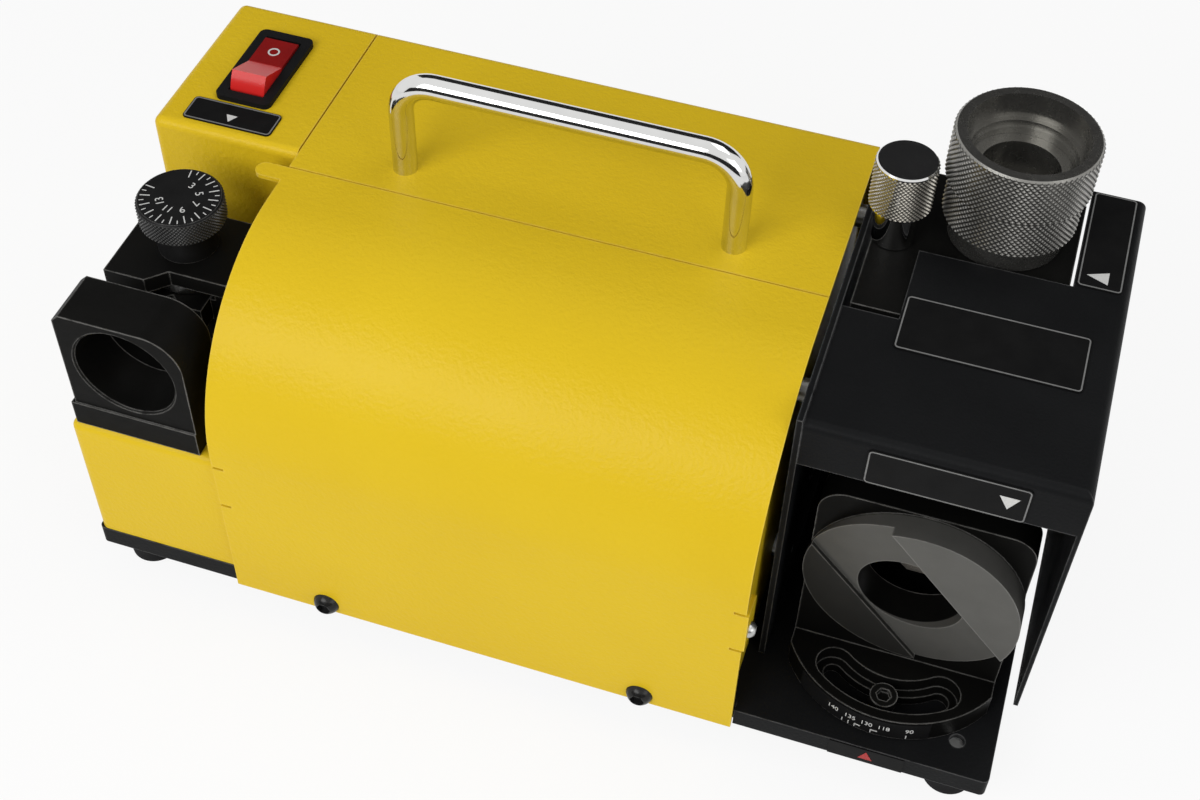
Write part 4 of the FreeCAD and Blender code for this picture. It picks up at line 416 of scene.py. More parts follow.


# Grooves painted near black as shade; tips painted pale grey, partly rubbed wear and partly highlight.
KNURL_GROOVE_SHADE = (0.012, 0.0118, 0.011, 1)
TIP_WEAR_AND_HIGHLIGHT = (0.45, 0.441, 0.415, 1)
CHUCK_METAL = 0.85
CHUCK_PITCH = 0.0019
CHUCK_TOOTH = 0.00045
CHUCK_EDGE = 0.0008
GRIP_HEIGHT = 0.015
grip_steel = knurl_finish(
    "grip_knurl_painted_light", "chuck_body", CHUCK_TOOTH, KNURL_GROOVE_SHADE, TIP_WEAR_AND_HIGHLIGHT, CHUCK_METAL)
nut_steel = knurl_finish(
    "nut_knurl_painted_light", "chuck_nut", CHUCK_TOOTH, KNURL_GROOVE_SHADE, TIP_WEAR_AND_HIGHLIGHT, CHUCK_METAL)
body_low, body_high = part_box("chuck_body")
nut_low, nut_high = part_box("chuck_nut")
grip_radius = (body_high.x - body_low.x) / 2
nut_radius = (nut_high.x - nut_low.x) / 2
knurl("chuck_grip_knurl", "chuck_body", nut_low.z - GRIP_HEIGHT + CHUCK_EDGE, nut_low.z - CHUCK_EDGE,
      grip_radius, CHUCK_PITCH, CHUCK_TOOTH, grip_steel, "chuck")
knurl("chuck_nut_knurl", "chuck_nut", nut_low.z + CHUCK_EDGE, nut_high.z - CHUCK_EDGE,
      nut_radius, CHUCK_PITCH, CHUCK_TOOTH, nut_steel, "nut")


# Bright steel pieces: collets, spindle shaft, wheel flange, bearings, pins and the dial's scroll.
# Turned, hardened and ground steel, faintly clouded by handling.
# Nut, shields, hinges and base hold them, and the spare collets stand in the tray.
BRIGHT = (0.52, 0.515, 0.5, 1)
BRIGHT_DULL = (0.36, 0.355, 0.345, 1)
ground_steel = mottled(
    "ground_steel", BRIGHT_DULL, BRIGHT, patch=(120.0, 3.0), rough=(0.24, 0.12, 700.0),
    grain=(0.06, 0.0002, 2400.0), metal=1.0,
)
dress(ground_steel, "chuck_collet", "spare_collets", "spindle_shaft", "wheel_flange", "motor_bearings",
      "lid_hinge_pins", "dial_scroll", "holder_pivot_pin")


# Chromed pieces: carrying handle and clamp knob with its cross knurl.
# Bent round bar and turned steel, polished and chrome plated, with faint wipe marks.
# Screws from inside the top hold the handle, and the knob's stud screws into the relief bracket.
CHROME = (0.78, 0.78, 0.775, 1)
CHROME_DULL = (0.62, 0.62, 0.61, 1)
chrome = mottled(
    "polished_chrome", CHROME_DULL, CHROME, patch=(90.0, 4.0), rough=(0.05, 0.07, 180.0, 4.0),
    grain=(0.02, 0.0002, 900.0), metal=1.0,
)
dress(chrome, "carry_handle", "clamp_knob")
# Knob knurl: grooves painted dark as shade on the chrome, tips painted bright as a highlight.
KNOB_GROOVE_SHADE = (0.03, 0.028, 0.024, 1)
KNOB_TIP_HIGHLIGHT = (0.62, 0.59, 0.52, 1)
KNOB_METAL = 1.0
KNOB_TOOTH = 0.0004
KNOB_BAND = 0.018
KNOB_EDGE = 0.0009
KNOB_PITCH = 0.0015
knob_steel = knurl_finish("plated_knurl_painted_light", "clamp_knob", KNOB_TOOTH, KNOB_GROOVE_SHADE, KNOB_TIP_HIGHLIGHT, KNOB_METAL)
knob_low, knob_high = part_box("clamp_knob")
knurl("clamp_knob_knurl", "clamp_knob", knob_high.z - KNOB_BAND + KNOB_EDGE, knob_high.z - KNOB_EDGE,
      (knob_high.x - knob_low.x) / 2, KNOB_PITCH, KNOB_TOOTH, knob_steel, "knob")


# Plated screws, spacers and nut that hold the sheets, brackets and wheel.
# Cold-headed steel, zinc plated, slightly clouded.
# Each is driven through its hole in the sheet, plate or casting that it fixes.
ZINC = (0.58, 0.585, 0.57, 1)
ZINC_CLOUD = (0.4, 0.405, 0.4, 1)
zinc = mottled(
    "zinc_plate", ZINC_CLOUD, ZINC, patch=(350.0, 3.0), rough=(0.28, 0.14, 600.0),
    grain=(0.08, 0.0002, 2600.0), metal=1.0,
)
dress(zinc, "foot_screws", "panel_screws", "inlet_screws", "fixture_screws", "handle_screws",
      "cradle_screws", "relief_screws", "side_plate_screws", "side_plate_spacers", "wheel_nut",
      "lid_ear_screws")


# Dome-head screws of the lid and the wheel cover.
# Steel button heads in a glossy black finish, picking up fine dust.
# They hold the lid to its hinge knuckles and the cover's flange to the side plate.
GLOSS_BLACK = (0.006, 0.006, 0.0065, 1)
GLOSS_DUST = (0.02, 0.02, 0.02, 1)
HEAD_GLOSS = 0.22
gloss_black = mottled(
    "gloss_black_heads", GLOSS_BLACK, GLOSS_DUST, patch=(500.0, 4.0), rough=(0.16, 0.1, 400.0),
    grain=(0.05, 0.0002, 1800.0), gloss=HEAD_GLOSS,
)
dress(gloss_black, "lid_dome_screws", "cover_screws")


# Rubber feet under the base's corners.
# Moulded black rubber, matt, with a faint bloom.
# A screw from below, sunk in each foot, holds it to the base.
RUBBER = (0.012, 0.012, 0.0125, 1)
RUBBER_BLOOM = (0.03, 0.03, 0.031, 1)
rubber = mottled(
    "moulded_rubber", RUBBER, RUBBER_BLOOM, patch=(80.0, 4.0), rough=(0.72, 0.15, 300.0),
    grain=(0.2, 0.0002, 1400.0, 3.0), gloss=BLACK_GLOSS,
)
dress(rubber, "rubber_feet")


# Switch housing, power inlet and cooling fan.
# Injection-moulded black plastic with a fine spark-eroded texture.
# Switch and inlet clip or screw into the housing's windows, and the fan is pressed on the shaft.
PLASTIC = (0.007, 0.007, 0.0075, 1)
PLASTIC_WORN = (0.013, 0.013, 0.0135, 1)
plastic = mottled(
    "moulded_black_plastic", PLASTIC, PLASTIC_WORN, patch=(60.0, 3.0), rough=(0.38, 0.14, 500.0),
    grain=(0.15, 0.0002, 2600.0), gloss=BLACK_GLOSS,
)
dress(plastic, "switch_housing", "power_inlet", "cooling_fan")


# Rocker of the power switch, with its pale round mark.
# Red translucent plastic, moulded in one piece, gloss on top, with the mark printed white; its rear half
# is painted darker red as shade.
# It snaps on two pins in the switch housing and tilts.
RED_BRIGHT = (0.66, 0.02, 0.018, 1)
RED_REAR_SHADE = (0.2, 0.008, 0.008, 1)
REAR_SHADE_FADE = 900.0
REAR_SHADE_LEAST = 0.8
REAR_SHADE_NOISE = 150.0
RED_ROUGH_LEAST = 0.2
RED_ROUGH_SPREAD = 0.08
RED_ROUGH_NOISE = 300.0
RED_GRAIN = 1200.0
RED_GRAIN_STRENGTH = 0.05
RED_GRAIN_DEPTH = 0.0002
RED_COAT = 0.06
RED_GLOSS = 0.2
rocker_low, rocker_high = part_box("switch_rocker")
rocker_mid = (rocker_low + rocker_high) / 2
red_plastic, flow = new_finish("red_rocker_plastic_rear_shade")
# Painted shade: the rocker's rear half turns deep red.
rear_shade_mask = ((flow.coordinate("Y") - rocker_mid.y) * REAR_SHADE_FADE + 0.5).clamp()
rear_shade_share = rear_shade_mask * (REAR_SHADE_LEAST + flow.noise(REAR_SHADE_NOISE) * (1 - REAR_SHADE_LEAST))
surface(flow, {
    "Base Color": flow.blend(rear_shade_share, RED_BRIGHT, RED_REAR_SHADE),
    "Roughness": RED_ROUGH_LEAST + flow.noise(RED_ROUGH_NOISE) * RED_ROUGH_SPREAD,
    "Normal": flow.bump(flow.noise(RED_GRAIN), RED_GRAIN_STRENGTH, RED_GRAIN_DEPTH),
    "Coat Weight": RED_COAT,
    "Specular IOR Level": RED_GLOSS,
})
dress(red_plastic, "switch_rocker")

PRINT_WHITE = (0.72, 0.72, 0.7, 1)
PRINT_GREY = (0.55, 0.55, 0.54, 1)
print_white = mottled(
    "white_print", PRINT_GREY, PRINT_WHITE, patch=(900.0, 3.0), rough=(0.5, 0.1, 700.0))


def mesh_piece(name, builder, finish, body):
    """Make a mesh with bmesh, give it one finish and let it ride on a body."""
    mesh = bpy.data.meshes.new(name)
    work = bmesh.new()
    builder(work)
    bmesh.ops.recalc_face_normals(work, faces=work.faces)
    work.to_mesh(mesh)
    work.free()
    mesh.materials.append(finish)
    piece = bpy.data.objects.new(name, mesh)
    bpy.context.scene.collection.objects.link(piece)
    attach(piece, body)


def add_band(work, outer, inner, push):
    """Closed flat band between two loops of points, raised along a vector."""
    push = Vector(push)
    loops = []
    for points in (outer, [p + push for p in outer], [p + push for p in inner], inner):
        loops.append([work.verts.new(point) for point in points])
    for first, second in zip(loops, loops[1:] + loops[:1]):
        for k in range(len(first)):
            nxt = (k + 1) % len(first)
            work.faces.new([first[k], first[nxt], second[nxt], second[k]])


PRINT_RISE = 0.00008
ROUND_MARK = 0.0021
ROUND_MARK_LINE = 0.0006
ROUND_MARK_BACK = 0.0072
ROUND_MARK_SIDES = 28
ROCKER_FLAT_Z = 0.1458


def rocker_ring(work):
    spot = Vector((rocker_mid.x, rocker_mid.y + ROUND_MARK_BACK, ROCKER_FLAT_Z))
    turns = [2 * math.pi * k / ROUND_MARK_SIDES for k in range(ROUND_MARK_SIDES)]
    spokes = [Vector((math.cos(turn), math.sin(turn), 0)) for turn in turns]
    outer = [spot + spoke * ROUND_MARK for spoke in spokes]
    inner = [spot + spoke * (ROUND_MARK - ROUND_MARK_LINE) for spoke in spokes]
    add_band(work, outer, inner, (0, 0, PRINT_RISE))


mesh_piece("rocker_round_mark", rocker_ring, print_white, "rocker")


# Setting dial: black knob with a knurled rim, tick marks and plain numbers for drill sizes.
# Turned steel, blackened, with the marks engraved and filled white.
# It is fixed on the scroll's shaft, which turns in the stop bracket's roof.
DIAL_BLACK = (0.008, 0.008, 0.0083, 1)
DIAL_WORN = (0.018, 0.018, 0.018, 1)
dial_black = mottled(
    "blackened_dial", DIAL_BLACK, DIAL_WORN, patch=(110.0, 3.0), rough=(0.36, 0.12, 500.0),
    grain=(0.08, 0.0002, 1900.0), edge_wear_and_highlight=(0.0004, 0.6, EDGE_STEEL_AND_HIGHLIGHT), metal=0.3, gloss=BLACK_GLOSS,
)
dress(dial_black, "setting_dial")
DIAL_BAND = 0.009
DIAL_EDGE = 0.0008
DIAL_PITCH = 0.0013
DIAL_TOOTH = 0.00035
# Dial knurl: grooves painted a little darker as shade, tips painted paler, partly wear and partly
# highlight.
DIAL_GROOVE_SHADE = (0.006, 0.006, 0.006, 1)
DIAL_TIP_WEAR_AND_HIGHLIGHT = (0.12, 0.12, 0.118, 1)
DIAL_METAL = 0.6
dial_low, dial_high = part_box("setting_dial")
dial_mid = (dial_low + dial_high) / 2
dial_radius = (dial_high.x - dial_low.x) / 2
dial_top = dial_high.z
dial_rim = knurl_finish("dial_rim_knurl_painted_light", "setting_dial", DIAL_TOOTH, DIAL_GROOVE_SHADE, DIAL_TIP_WEAR_AND_HIGHLIGHT, DIAL_METAL)
knurl("dial_knurl", "setting_dial", dial_top - DIAL_BAND + DIAL_EDGE, dial_top - DIAL_EDGE,
      dial_radius, DIAL_PITCH, DIAL_TOOTH, dial_rim, "dial")

flow, size, points, turn, tick_tree = ring_tree("ring_of_ticks", [("Tick Size", "Vector")])
close_tree(
    flow, size, points, flow.node("GeometryNodeMeshCube", {}, {"Size": size("Tick Size")}),
    flow.node("ShaderNodeCombineXYZ", {}, {"X": 0.0, "Y": 0.0, "Z": turn}),
    (1.0, 1.0, 1.0),
)
UNIT_STEP_DEG = 22.0
UNITS_SHOWN = 14
UNITS_PER_NUMBER = 2
DIAL_NUMBERS = ("3", "5", "7", "9", "11", "13")
NUMBER_SIZE = 0.0038
NUMBER_RING = 0.0062
NUMBER_START_DEG = 77.0
TICK_END = 0.0128
LONG_TICK = (0.0033, 0.00036, 2.4 * PRINT_RISE)
SHORT_TICK = (0.0015, 0.0003, 2 * PRINT_RISE)


def ticks(name, middle, count, start_deg, tick_size, body):
    """Bars that end on one ring of the dial's face, a unit apart."""
    piece = grow(name, tick_tree, {
        "Middle": middle, "Radius": TICK_END - tick_size[0] / 2, "Length": 0.0, "Around": count,
        "Rows": 1, "Stagger": 0.0, "Start": math.radians(start_deg),
        "Step": math.radians(-UNIT_STEP_DEG), "Finish": print_white, "Tick Size": tick_size,
    })
    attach(piece, body)


def numbers(name, marks, height, body):
    """Plain figures as flat meshes: (text, matrix) pairs in one object."""
    work = bmesh.new()
    for text, matrix in marks:
        curve = bpy.data.curves.new(name, "FONT")
        curve.body = text
        curve.size = height
        curve.align_x = "CENTER"
        curve.align_y = "CENTER"
        curve.extrude = PRINT_RISE / 2
        writing = bpy.data.objects.new(name + "_text", curve)
        bpy.context.scene.collection.objects.link(writing)
        graph = bpy.context.evaluated_depsgraph_get()
        flat = bpy.data.meshes.new_from_object(writing.evaluated_get(graph))
        flat.transform(matrix)
        work.from_mesh(flat)
        bpy.data.objects.remove(writing)
        bpy.data.meshes.remove(flat)
    mesh = bpy.data.meshes.new(name)
    work.to_mesh(mesh)
    work.free()
    mesh.materials.append(print_white)
    piece = bpy.data.objects.new(name, mesh)
    bpy.context.scene.collection.objects.link(piece)
    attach(piece, body)


dial_face = (dial_mid.x, dial_mid.y, dial_top)
first_unit = NUMBER_START_DEG + UNIT_STEP_DEG
ticks("dial_short_ticks", dial_face, UNITS_SHOWN - 1, first_unit - UNIT_STEP_DEG / 2, SHORT_TICK,
      "dial")
ticks("dial_long_ticks", dial_face, UNITS_SHOWN, first_unit, LONG_TICK, "dial")
dial_marks = []
for k, text in enumerate(DIAL_NUMBERS):
    angle = math.radians(NUMBER_START_DEG - k * UNITS_PER_NUMBER * UNIT_STEP_DEG)
    spot = Vector(dial_face) + Vector((math.cos(angle), math.sin(angle), 0)) * NUMBER_RING
    dial_marks.append((text, Matrix.Translation(spot) @ Matrix.Rotation(angle - math.pi / 2, 4, "Z")))
numbers("dial_numbers", dial_marks, NUMBER_SIZE, "dial")


# Angle scale on the holder's curved front, with plain numbers of degrees.
# Thin black film with white ticks and figures.
# It is stuck round the edge of the holder's foot and swings with it past the index on the base.
FILM = (0.005, 0.005, 0.0053, 1)
FILM_SCUFF = (0.011, 0.011, 0.011, 1)
film = mottled(
    "printed_black_film", FILM, FILM_SCUFF, patch=(140.0, 4.0), rough=(0.3, 0.15, 260.0, 3.0),
    grain=(0.04, 0.0002, 1600.0), gloss=BLACK_GLOSS,
)
dress(film, "angle_scale", "tower_label", "cover_labels", "index_plate")


def add_prism(work, points, push):
    """Closed prism: a flat outline pushed along a vector."""
    lower = [work.verts.new(Vector(point)) for point in points]
    upper = [work.verts.new(Vector(point) + Vector(push)) for point in points]
    work.faces.new(lower)
    work.faces.new(list(reversed(upper)))
    for k in range(len(points)):
        nxt = (k + 1) % len(points)
        work.faces.new([lower[nxt], lower[k], upper[k], upper[nxt]])


# Each mark is its figure, then the angles from the front of the figure and of its tick.
SCALE_MARKS = (
    ("140", -22.3, -16.5), ("135", -13.0, -13.2), ("130", -4.6, -10.0), ("118", 3.8, -2.0),
    ("90", 16.1, 15.0),
)
SCALE_FRONT_DEG = 270.0
SCALE_FIGURE = 0.0028
SCALE_FIGURE_LIFT = 0.0004
SCALE_LINE = 0.0003
SCALE_TICK_FOOT = 0.0005
SCALE_TICK_TOP = 0.0021
LEAD_STOP_DEG = 2.6
scale_low, scale_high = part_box("angle_scale")
scale_radius = pivot.y - scale_low.y
figure_z = (scale_low.z + scale_high.z) / 2 + SCALE_FIGURE_LIFT


def on_scale(off_deg, height):
    turn = math.radians(SCALE_FRONT_DEG + off_deg)
    out = Vector((math.cos(turn), math.sin(turn), 0)) * scale_radius
    return Vector((pivot.x, pivot.y, height)) + out


def scale_lines(work):
    """A tick for each angle, with a short lead where its figure stands to one side."""
    foot = scale_low.z + SCALE_TICK_FOOT
    top = scale_low.z + SCALE_TICK_TOP
    half_line = math.degrees(SCALE_LINE / scale_radius) / 2
    for _, figure, tick in SCALE_MARKS:
        outward = (on_scale(tick, 0) - Vector((pivot.x, pivot.y, 0))).normalized() * 2 * PRINT_RISE
        bars = [(tick - half_line, tick + half_line, foot)]
        lead = figure - LEAD_STOP_DEG
        if lead > tick + LEAD_STOP_DEG / 2:
            bars.append((tick + half_line, lead, top - SCALE_LINE))
        for left, right, under in bars:
            corners = ((left, under), (right, under), (right, top), (left, top))
            add_prism(work, [on_scale(*corner) for corner in corners], outward)


mesh_piece("scale_lines", scale_lines, print_white, "holder")
scale_marks = []
stood_up = Matrix.Rotation(math.pi / 2, 4, "X")
for text, figure, _ in SCALE_MARKS:
    facing = Matrix.Rotation(math.radians(SCALE_FRONT_DEG + figure) + math.pi / 2, 4, "Z")
    scale_marks.append((text, Matrix.Translation(on_scale(figure, figure_z)) @ facing @ stood_up))
numbers("scale_numbers", scale_marks, SCALE_FIGURE, "holder")


# Marking plates on the tower, the wheel cover and the base, with a thin border and plain triangles.
# Black printed film on thin plate, its border grey, its triangles white and the base's pointer red.
# They are stuck on the paint, the pointer plate under the scale as its index.
BORDER = 0.00045
BORDER_INSET = 0.0003
PLATE_ROUND = 0.0016
CORNER_STEPS = 5


def frame_strip(work, low, high, axis_u, axis_v, face, normal):
    """Thin border with round corners just inside a plate's edge, on the plane at face along normal."""
    loops = []
    for inset in (BORDER_INSET, BORDER_INSET + BORDER):
        radius = PLATE_ROUND - inset
        loop = []
        for corner in range(4):
            u_side = high[0] - PLATE_ROUND if corner in (0, 3) else low[0] + PLATE_ROUND
            v_side = high[1] - PLATE_ROUND if corner in (0, 1) else low[1] + PLATE_ROUND
            for k in range(CORNER_STEPS + 1):
                turn = (corner + k / CORNER_STEPS) * math.pi / 2
                u = u_side + radius * math.cos(turn)
                v = v_side + radius * math.sin(turn)
                loop.append(axis_u * u + axis_v * v + face)
        loops.append(loop)
    add_band(work, loops[0], loops[1], normal * PRINT_RISE)


X_AXIS = Vector((1, 0, 0))
Y_AXIS = Vector((0, 1, 0))
Z_AXIS = Vector((0, 0, 1))
TOP_PLATE_SHIFT = 0.0049
TOP_PLATE_BACK = 0.05
TOP_PLATE_HALF = (0.0285, 0.0117)
RELIEF_WIDTH = 0.0142
RELIEF_LENGTH = 0.0456
FASCIA_SHIFT = 0.002
FASCIA_HALF = 0.024
FASCIA_HEIGHT = 0.0146
tower_low, tower_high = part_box("tower_label")
cover_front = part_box("wheel_cover")[0].y
labels_low, labels_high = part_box("cover_labels")
top_plate_x = pivot.x + TOP_PLATE_SHIFT
top_plate_y = cover_front + TOP_PLATE_BACK
top_plate_low = (top_plate_x - TOP_PLATE_HALF[0], top_plate_y - TOP_PLATE_HALF[1])
top_plate_high = (top_plate_x + TOP_PLATE_HALF[0], top_plate_y + TOP_PLATE_HALF[1])
relief_low = (labels_high.x - RELIEF_WIDTH, labels_high.y - RELIEF_LENGTH)
relief_high = (labels_high.x, labels_high.y)
fascia_x = pivot.x + FASCIA_SHIFT
fascia_low = (fascia_x - FASCIA_HALF, labels_low.z)
fascia_high = (fascia_x + FASCIA_HALF, labels_low.z + FASCIA_HEIGHT)


def plate_borders(work):
    tower_face = Z_AXIS * tower_high.z
    cover_face = Z_AXIS * labels_high.z
    fascia_face = Y_AXIS * labels_low.y
    frame_strip(work, tower_low.xy, tower_high.xy, X_AXIS, Y_AXIS, tower_face, Z_AXIS)
    frame_strip(work, top_plate_low, top_plate_high, X_AXIS, Y_AXIS, cover_face, Z_AXIS)
    frame_strip(work, relief_low, relief_high, X_AXIS, Y_AXIS, cover_face, Z_AXIS)
    frame_strip(work, fascia_low, fascia_high, X_AXIS, Z_AXIS, fascia_face, -Y_AXIS)


BORDER_GREY = (0.23, 0.23, 0.225, 1)
BORDER_FAINT = (0.12, 0.12, 0.118, 1)
border_grey = mottled(
    "grey_print", BORDER_FAINT, BORDER_GREY, patch=(500.0, 3.0), rough=(0.5, 0.1, 700.0))
mesh_piece("plate_borders", plate_borders, border_grey, "frame")

TOWER_POINTER = (0.0034, 0.002)
RELIEF_POINTER = (0.0068, -0.0028)
RELIEF_POINTER_AT = (0.0026, 0.0055)
FASCIA_POINTER = (0.0052, 0.003)
FASCIA_POINTER_AT = (0.006, 0.0045)
INDEX_POINTER = (-0.0042, -0.0024)
INDEX_POINTER_DROP = 0.0012


def pointer(work, tip, sizes, along, across, normal):
    """Flat triangle from its tip: its length along one axis and half its width across another."""
    back = Vector(tip) + along * sizes[0]
    half = across * sizes[1]
    add_prism(work, [tip, back + half, back - half], normal * PRINT_RISE)


def plate_pointers(work):
    tower_mid = (tower_low + tower_high) / 2
    tip = (tower_mid.x, tower_mid.y - TOWER_POINTER[0], tower_high.z)
    pointer(work, tip, TOWER_POINTER, Y_AXIS, X_AXIS, Z_AXIS)
    tip = (relief_low[0] + RELIEF_POINTER_AT[0], relief_low[1] + RELIEF_POINTER_AT[1], labels_high.z)
    pointer(work, tip, RELIEF_POINTER, X_AXIS, Y_AXIS, Z_AXIS)
    tip = (fascia_high[0] - FASCIA_POINTER_AT[0], labels_low.y, fascia_low[1] + FASCIA_POINTER_AT[1])
    pointer(work, tip, FASCIA_POINTER, Z_AXIS, X_AXIS, -Y_AXIS)


mesh_piece("plate_pointers", plate_pointers, print_white, "frame")

POINTER_RED = (0.5, 0.015, 0.015, 1)
POINTER_RED_WORN = (0.32, 0.02, 0.018, 1)
pointer_red = mottled(
    "red_print", POINTER_RED_WORN, POINTER_RED, patch=(800.0, 3.0), rough=(0.45, 0.1, 500.0))
index_low, index_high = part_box("index_plate")


def index_pointer(work):
    tip = ((index_low.x + index_high.x) / 2, index_low.y, index_high.z - INDEX_POINTER_DROP)
    pointer(work, tip, INDEX_POINTER, Z_AXIS, X_AXIS, -Y_AXIS)


mesh_piece("index_pointer", index_pointer, pointer_red, "frame")


# Grinding wheel on its flange inside the cover.
# Bonded abrasive: pale grit in a grey-brown bond, open pores all over.
# The nut clamps it on the spindle against the flange.
GRIT = (0.5, 0.46, 0.4, 1)
BOND = (0.2, 0.18, 0.155, 1)
GRAINS_PER_METRE = 1900.0
GRAIN_SPREAD = 1.6
GRAIN_STRENGTH = 0.6
GRAIN_DEPTH = 0.0003
WHEEL_ROUGH_LEAST = 0.78
WHEEL_ROUGH_SPREAD = 0.15
WHEEL_ROUGH_NOISE = 500.0
abrasive, flow = new_finish("bonded_abrasive")
grit_cells = {"Vector": flow.place(), "Scale": GRAINS_PER_METRE}
grains = flow.node("ShaderNodeTexVoronoi", {}, grit_cells, out="Distance")
surface(flow, {
    "Base Color": flow.blend((grains * GRAIN_SPREAD).clamp(), GRIT, BOND),
    "Roughness": WHEEL_ROUGH_LEAST + flow.noise(WHEEL_ROUGH_NOISE) * WHEEL_ROUGH_SPREAD,
    "Normal": flow.bump(grains, GRAIN_STRENGTH, GRAIN_DEPTH),
})
dress(abrasive, "grinding_wheel")


# Motor: painted can, cast shields and cradle, laminated cores and varnished windings.
# Rolled steel, die-cast alloy, stacked sheet and copper wire, each as it leaves its process.
# The cradle is bolted to the base, and the shields hold the bearings of the spindle.
MOTOR_GREY = (0.03, 0.033, 0.037, 1)
MOTOR_PALE = (0.06, 0.064, 0.07, 1)
motor_paint = mottled(
    "motor_dip_coat", MOTOR_GREY, MOTOR_PALE, patch=(40.0, 4.0), rough=(0.42, 0.15, 200.0),
    grain=(0.2, 0.0003, 700.0),
)
dress(motor_paint, "motor_can")

ALLOY = (0.5, 0.5, 0.505, 1)
ALLOY_DULL = (0.33, 0.33, 0.335, 1)
cast_alloy = mottled(
    "die_cast_alloy", ALLOY_DULL, ALLOY, patch=(75.0, 4.0), rough=(0.48, 0.14, 300.0),
    grain=(0.25, 0.0003, 1200.0, 3.0), metal=0.9,
)
dress(cast_alloy, "motor_shield_left", "motor_shield_right", "motor_cradle")

SHEET_STEEL = (0.3, 0.3, 0.3, 1)
SHEET_GAP = (0.1, 0.095, 0.09, 1)
SHEETS_PER_METRE = 2000.0
GAP_GAIN = 3.0
GAP_CUT = 2.0
SHEET_METAL = 0.9
SHEET_ROUGH_LEAST = 0.4
SHEET_ROUGH_SPREAD = 0.15
SHEET_ROUGH_NOISE = 400.0
SHEET_STRENGTH = 0.2
SHEET_DEPTH = 0.0002
lamination, flow = new_finish("stacked_sheet")
stripe = flow.math("FRACT", flow.coordinate("X") * SHEETS_PER_METRE)
surface(flow, {
    "Base Color": flow.blend((stripe * GAP_GAIN - GAP_CUT).clamp(), SHEET_STEEL, SHEET_GAP),
    "Metallic": SHEET_METAL,
    "Roughness": SHEET_ROUGH_LEAST + flow.noise(SHEET_ROUGH_NOISE) * SHEET_ROUGH_SPREAD,
    "Normal": flow.bump(stripe, SHEET_STRENGTH, SHEET_DEPTH),
})
dress(lamination, "stator_core", "rotor_core")

COPPER = (0.55, 0.22, 0.09, 1)
COPPER_DARK = (0.28, 0.09, 0.035, 1)
WIRES_PER_METRE = 1100.0
WIRE_METAL = 0.85
WIRE_ROUGH_LEAST = 0.3
WIRE_ROUGH_SPREAD = 0.12
WIRE_ROUGH_NOISE = 300.0
WIRE_STRENGTH = 0.5
WIRE_DEPTH = 0.0003
copper, flow = new_finish("varnished_copper")
wire = flow.math("PINGPONG", flow.coordinate("X") * WIRES_PER_METRE, 0.5)
surface(flow, {
    "Base Color": flow.blend(wire * 2.0, COPPER_DARK, COPPER),
    "Metallic": WIRE_METAL,
    "Roughness": WIRE_ROUGH_LEAST + flow.noise(WIRE_ROUGH_NOISE) * WIRE_ROUGH_SPREAD,
    "Normal": flow.bump(wire, WIRE_STRENGTH, WIRE_DEPTH),
})
dress(copper, "stator_winding")


# Studio: pale floor, soft boxes above and a camera where the photograph was taken from.
# The floor and the world show white to the lens and to shiny metal, and keep a faint shadow.
# The boxes light the machine from the left, above and right, and dark cards give the chrome contrast.
def shown(flow):
    """1 for rays from the lens, from shiny metal and through glass, 0 for light that falls."""
    seen = flow.node("ShaderNodeLightPath", out="Is Camera Ray")
    shiny = flow.node("ShaderNodeLightPath", out="Is Glossy Ray")
    clear = flow.node("ShaderNodeLightPath", out="Is Transmission Ray")
    return (seen + shiny + clear).clamp()


def flat_sheet(name, corners, finish):
    """One flat face with a finish, as a piece of the studio."""
    mesh = bpy.data.meshes.new(name)
    mesh.from_pydata(corners, [], [(0, 1, 2, 3)])
    mesh.materials.append(finish)
    sheet = bpy.data.objects.new(name, mesh)
    bpy.context.scene.collection.objects.link(sheet)
    return sheet


FLOOR_TONE = (0.9, 0.9, 0.9, 1)
WHITE = (1, 1, 1, 1)
FLOOR_GLOW = 0.88
FLOOR_HALF = 4
QUARTERS = ((-1, -1), (1, -1), (1, 1), (-1, 1))
floor_finish, flow = new_finish("pale_floor")
plain = flow.node("ShaderNodeBsdfDiffuse", {}, {"Color": FLOOR_TONE})
glow = flow.node("ShaderNodeEmission", {}, {"Color": WHITE, "Strength": 1.0})
mixed = flow.node("ShaderNodeMixShader", {}, {0: shown(flow) * FLOOR_GLOW, 1: plain, 2: glow})
flow.node("ShaderNodeOutputMaterial", {}, {"Surface": mixed})
floor_corners = [(u * FLOOR_HALF, v * FLOOR_HALF, 0) for u, v in QUARTERS]
floor = flat_sheet("studio_floor", floor_corners, floor_finish)

AMBIENT = 0.32
world = bpy.data.worlds.new("studio")
world.use_nodes = True
world.node_tree.nodes.clear()
flow = Flow(world.node_tree)
strength = AMBIENT + shown(flow) * (1.0 - AMBIENT)
backdrop = flow.node("ShaderNodeBackground", {}, {"Color": WHITE, "Strength": strength})
flow.node("ShaderNodeOutputWorld", {}, {"Surface": backdrop})
bpy.context.scene.world = world

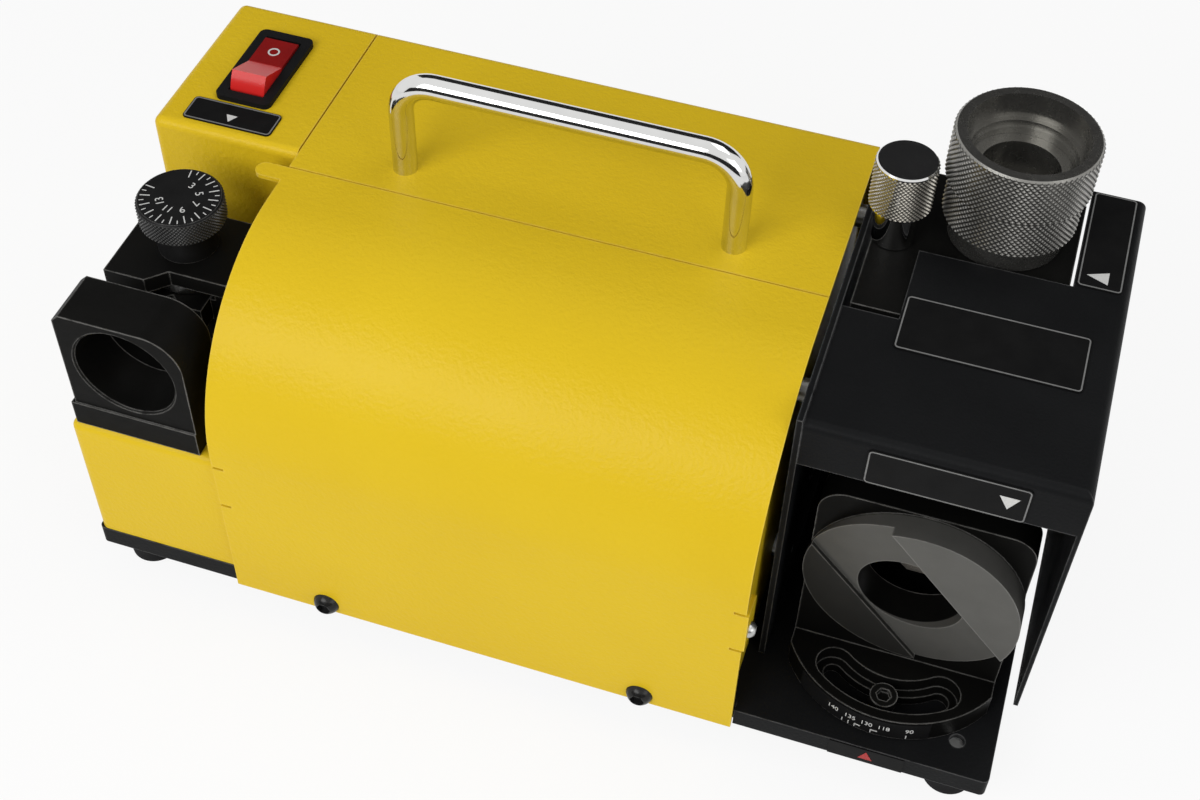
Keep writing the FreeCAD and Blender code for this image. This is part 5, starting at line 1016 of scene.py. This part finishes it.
# Each soft box is its name, its place, its width and height, and its watts.
SOFT_BOXES = (
    ("key_box", (-0.45, -1.0, 0.85), 0.9, 0.7, 10.0),
    ("top_box", (0.5, 0.3, 1.3), 0.8, 0.6, 3.2),
    ("fill_box", (1.0, -0.55, 0.6), 0.7, 0.6, 2.4),
)
MACHINE_MIDDLE = Vector((0, 0, 0.08))
for name, spot, width, height, power in SOFT_BOXES:
    lamp = bpy.data.lights.new(name, "AREA")
    lamp.shape = "RECTANGLE"
    lamp.size = width
    lamp.size_y = height
    lamp.energy = power
    lamp_body = bpy.data.objects.new(name, lamp)
    lamp_body.location = spot
    aim = MACHINE_MIDDLE - Vector(spot)
    lamp_body.rotation_euler = aim.to_track_quat("-Z", "Y").to_euler()
    bpy.context.scene.collection.objects.link(lamp_body)

# Each dark card shows only in reflections: its name, its place, and half its width and height.
DARK_CARDS = (
    ("back_card", (0.0, 1.25, 0.95), 1.3, 0.7),
    ("front_card", (0.0, -0.8, 0.24), 1.1, 0.22),
)
CARD_DARK = (0.012, 0.012, 0.013, 1)
CARD_NAP = (0.02, 0.02, 0.021, 1)
card_finish = mottled("dark_card", CARD_DARK, CARD_NAP, patch=(30.0,), rough=(0.9, 0.1, 9.0))
for name, spot, half_width, half_height in DARK_CARDS:
    spot = Vector(spot)
    turn = (MACHINE_MIDDLE - spot).to_track_quat("-Z", "Y").to_matrix()
    corners = [spot + turn @ Vector((u * half_width, v * half_height, 0)) for u, v in QUARTERS]
    card = flat_sheet(name, corners, card_finish)
    card.visible_camera = False
    card.visible_diffuse = False
    card.visible_shadow = False

LENS = 52.563
SENSOR_WIDTH = 36.0
CLIP_START = 0.01
CAMERA_SPOT = (0.11510, -0.38434, 0.52350)
CAMERA_TURN_DEG = (41.3527, -1.2934, 18.0300)
camera = bpy.data.cameras.new("photo_camera")
camera.lens = LENS
camera.sensor_width = SENSOR_WIDTH
camera.sensor_fit = "HORIZONTAL"
camera.clip_start = CLIP_START
camera_body = bpy.data.objects.new("photo_camera", camera)
camera_body.location = CAMERA_SPOT
camera_body.rotation_euler = [math.radians(turn) for turn in CAMERA_TURN_DEG]
bpy.context.scene.collection.objects.link(camera_body)
bpy.context.scene.camera = camera_body
bpy.context.scene.view_settings.view_transform = "Standard"
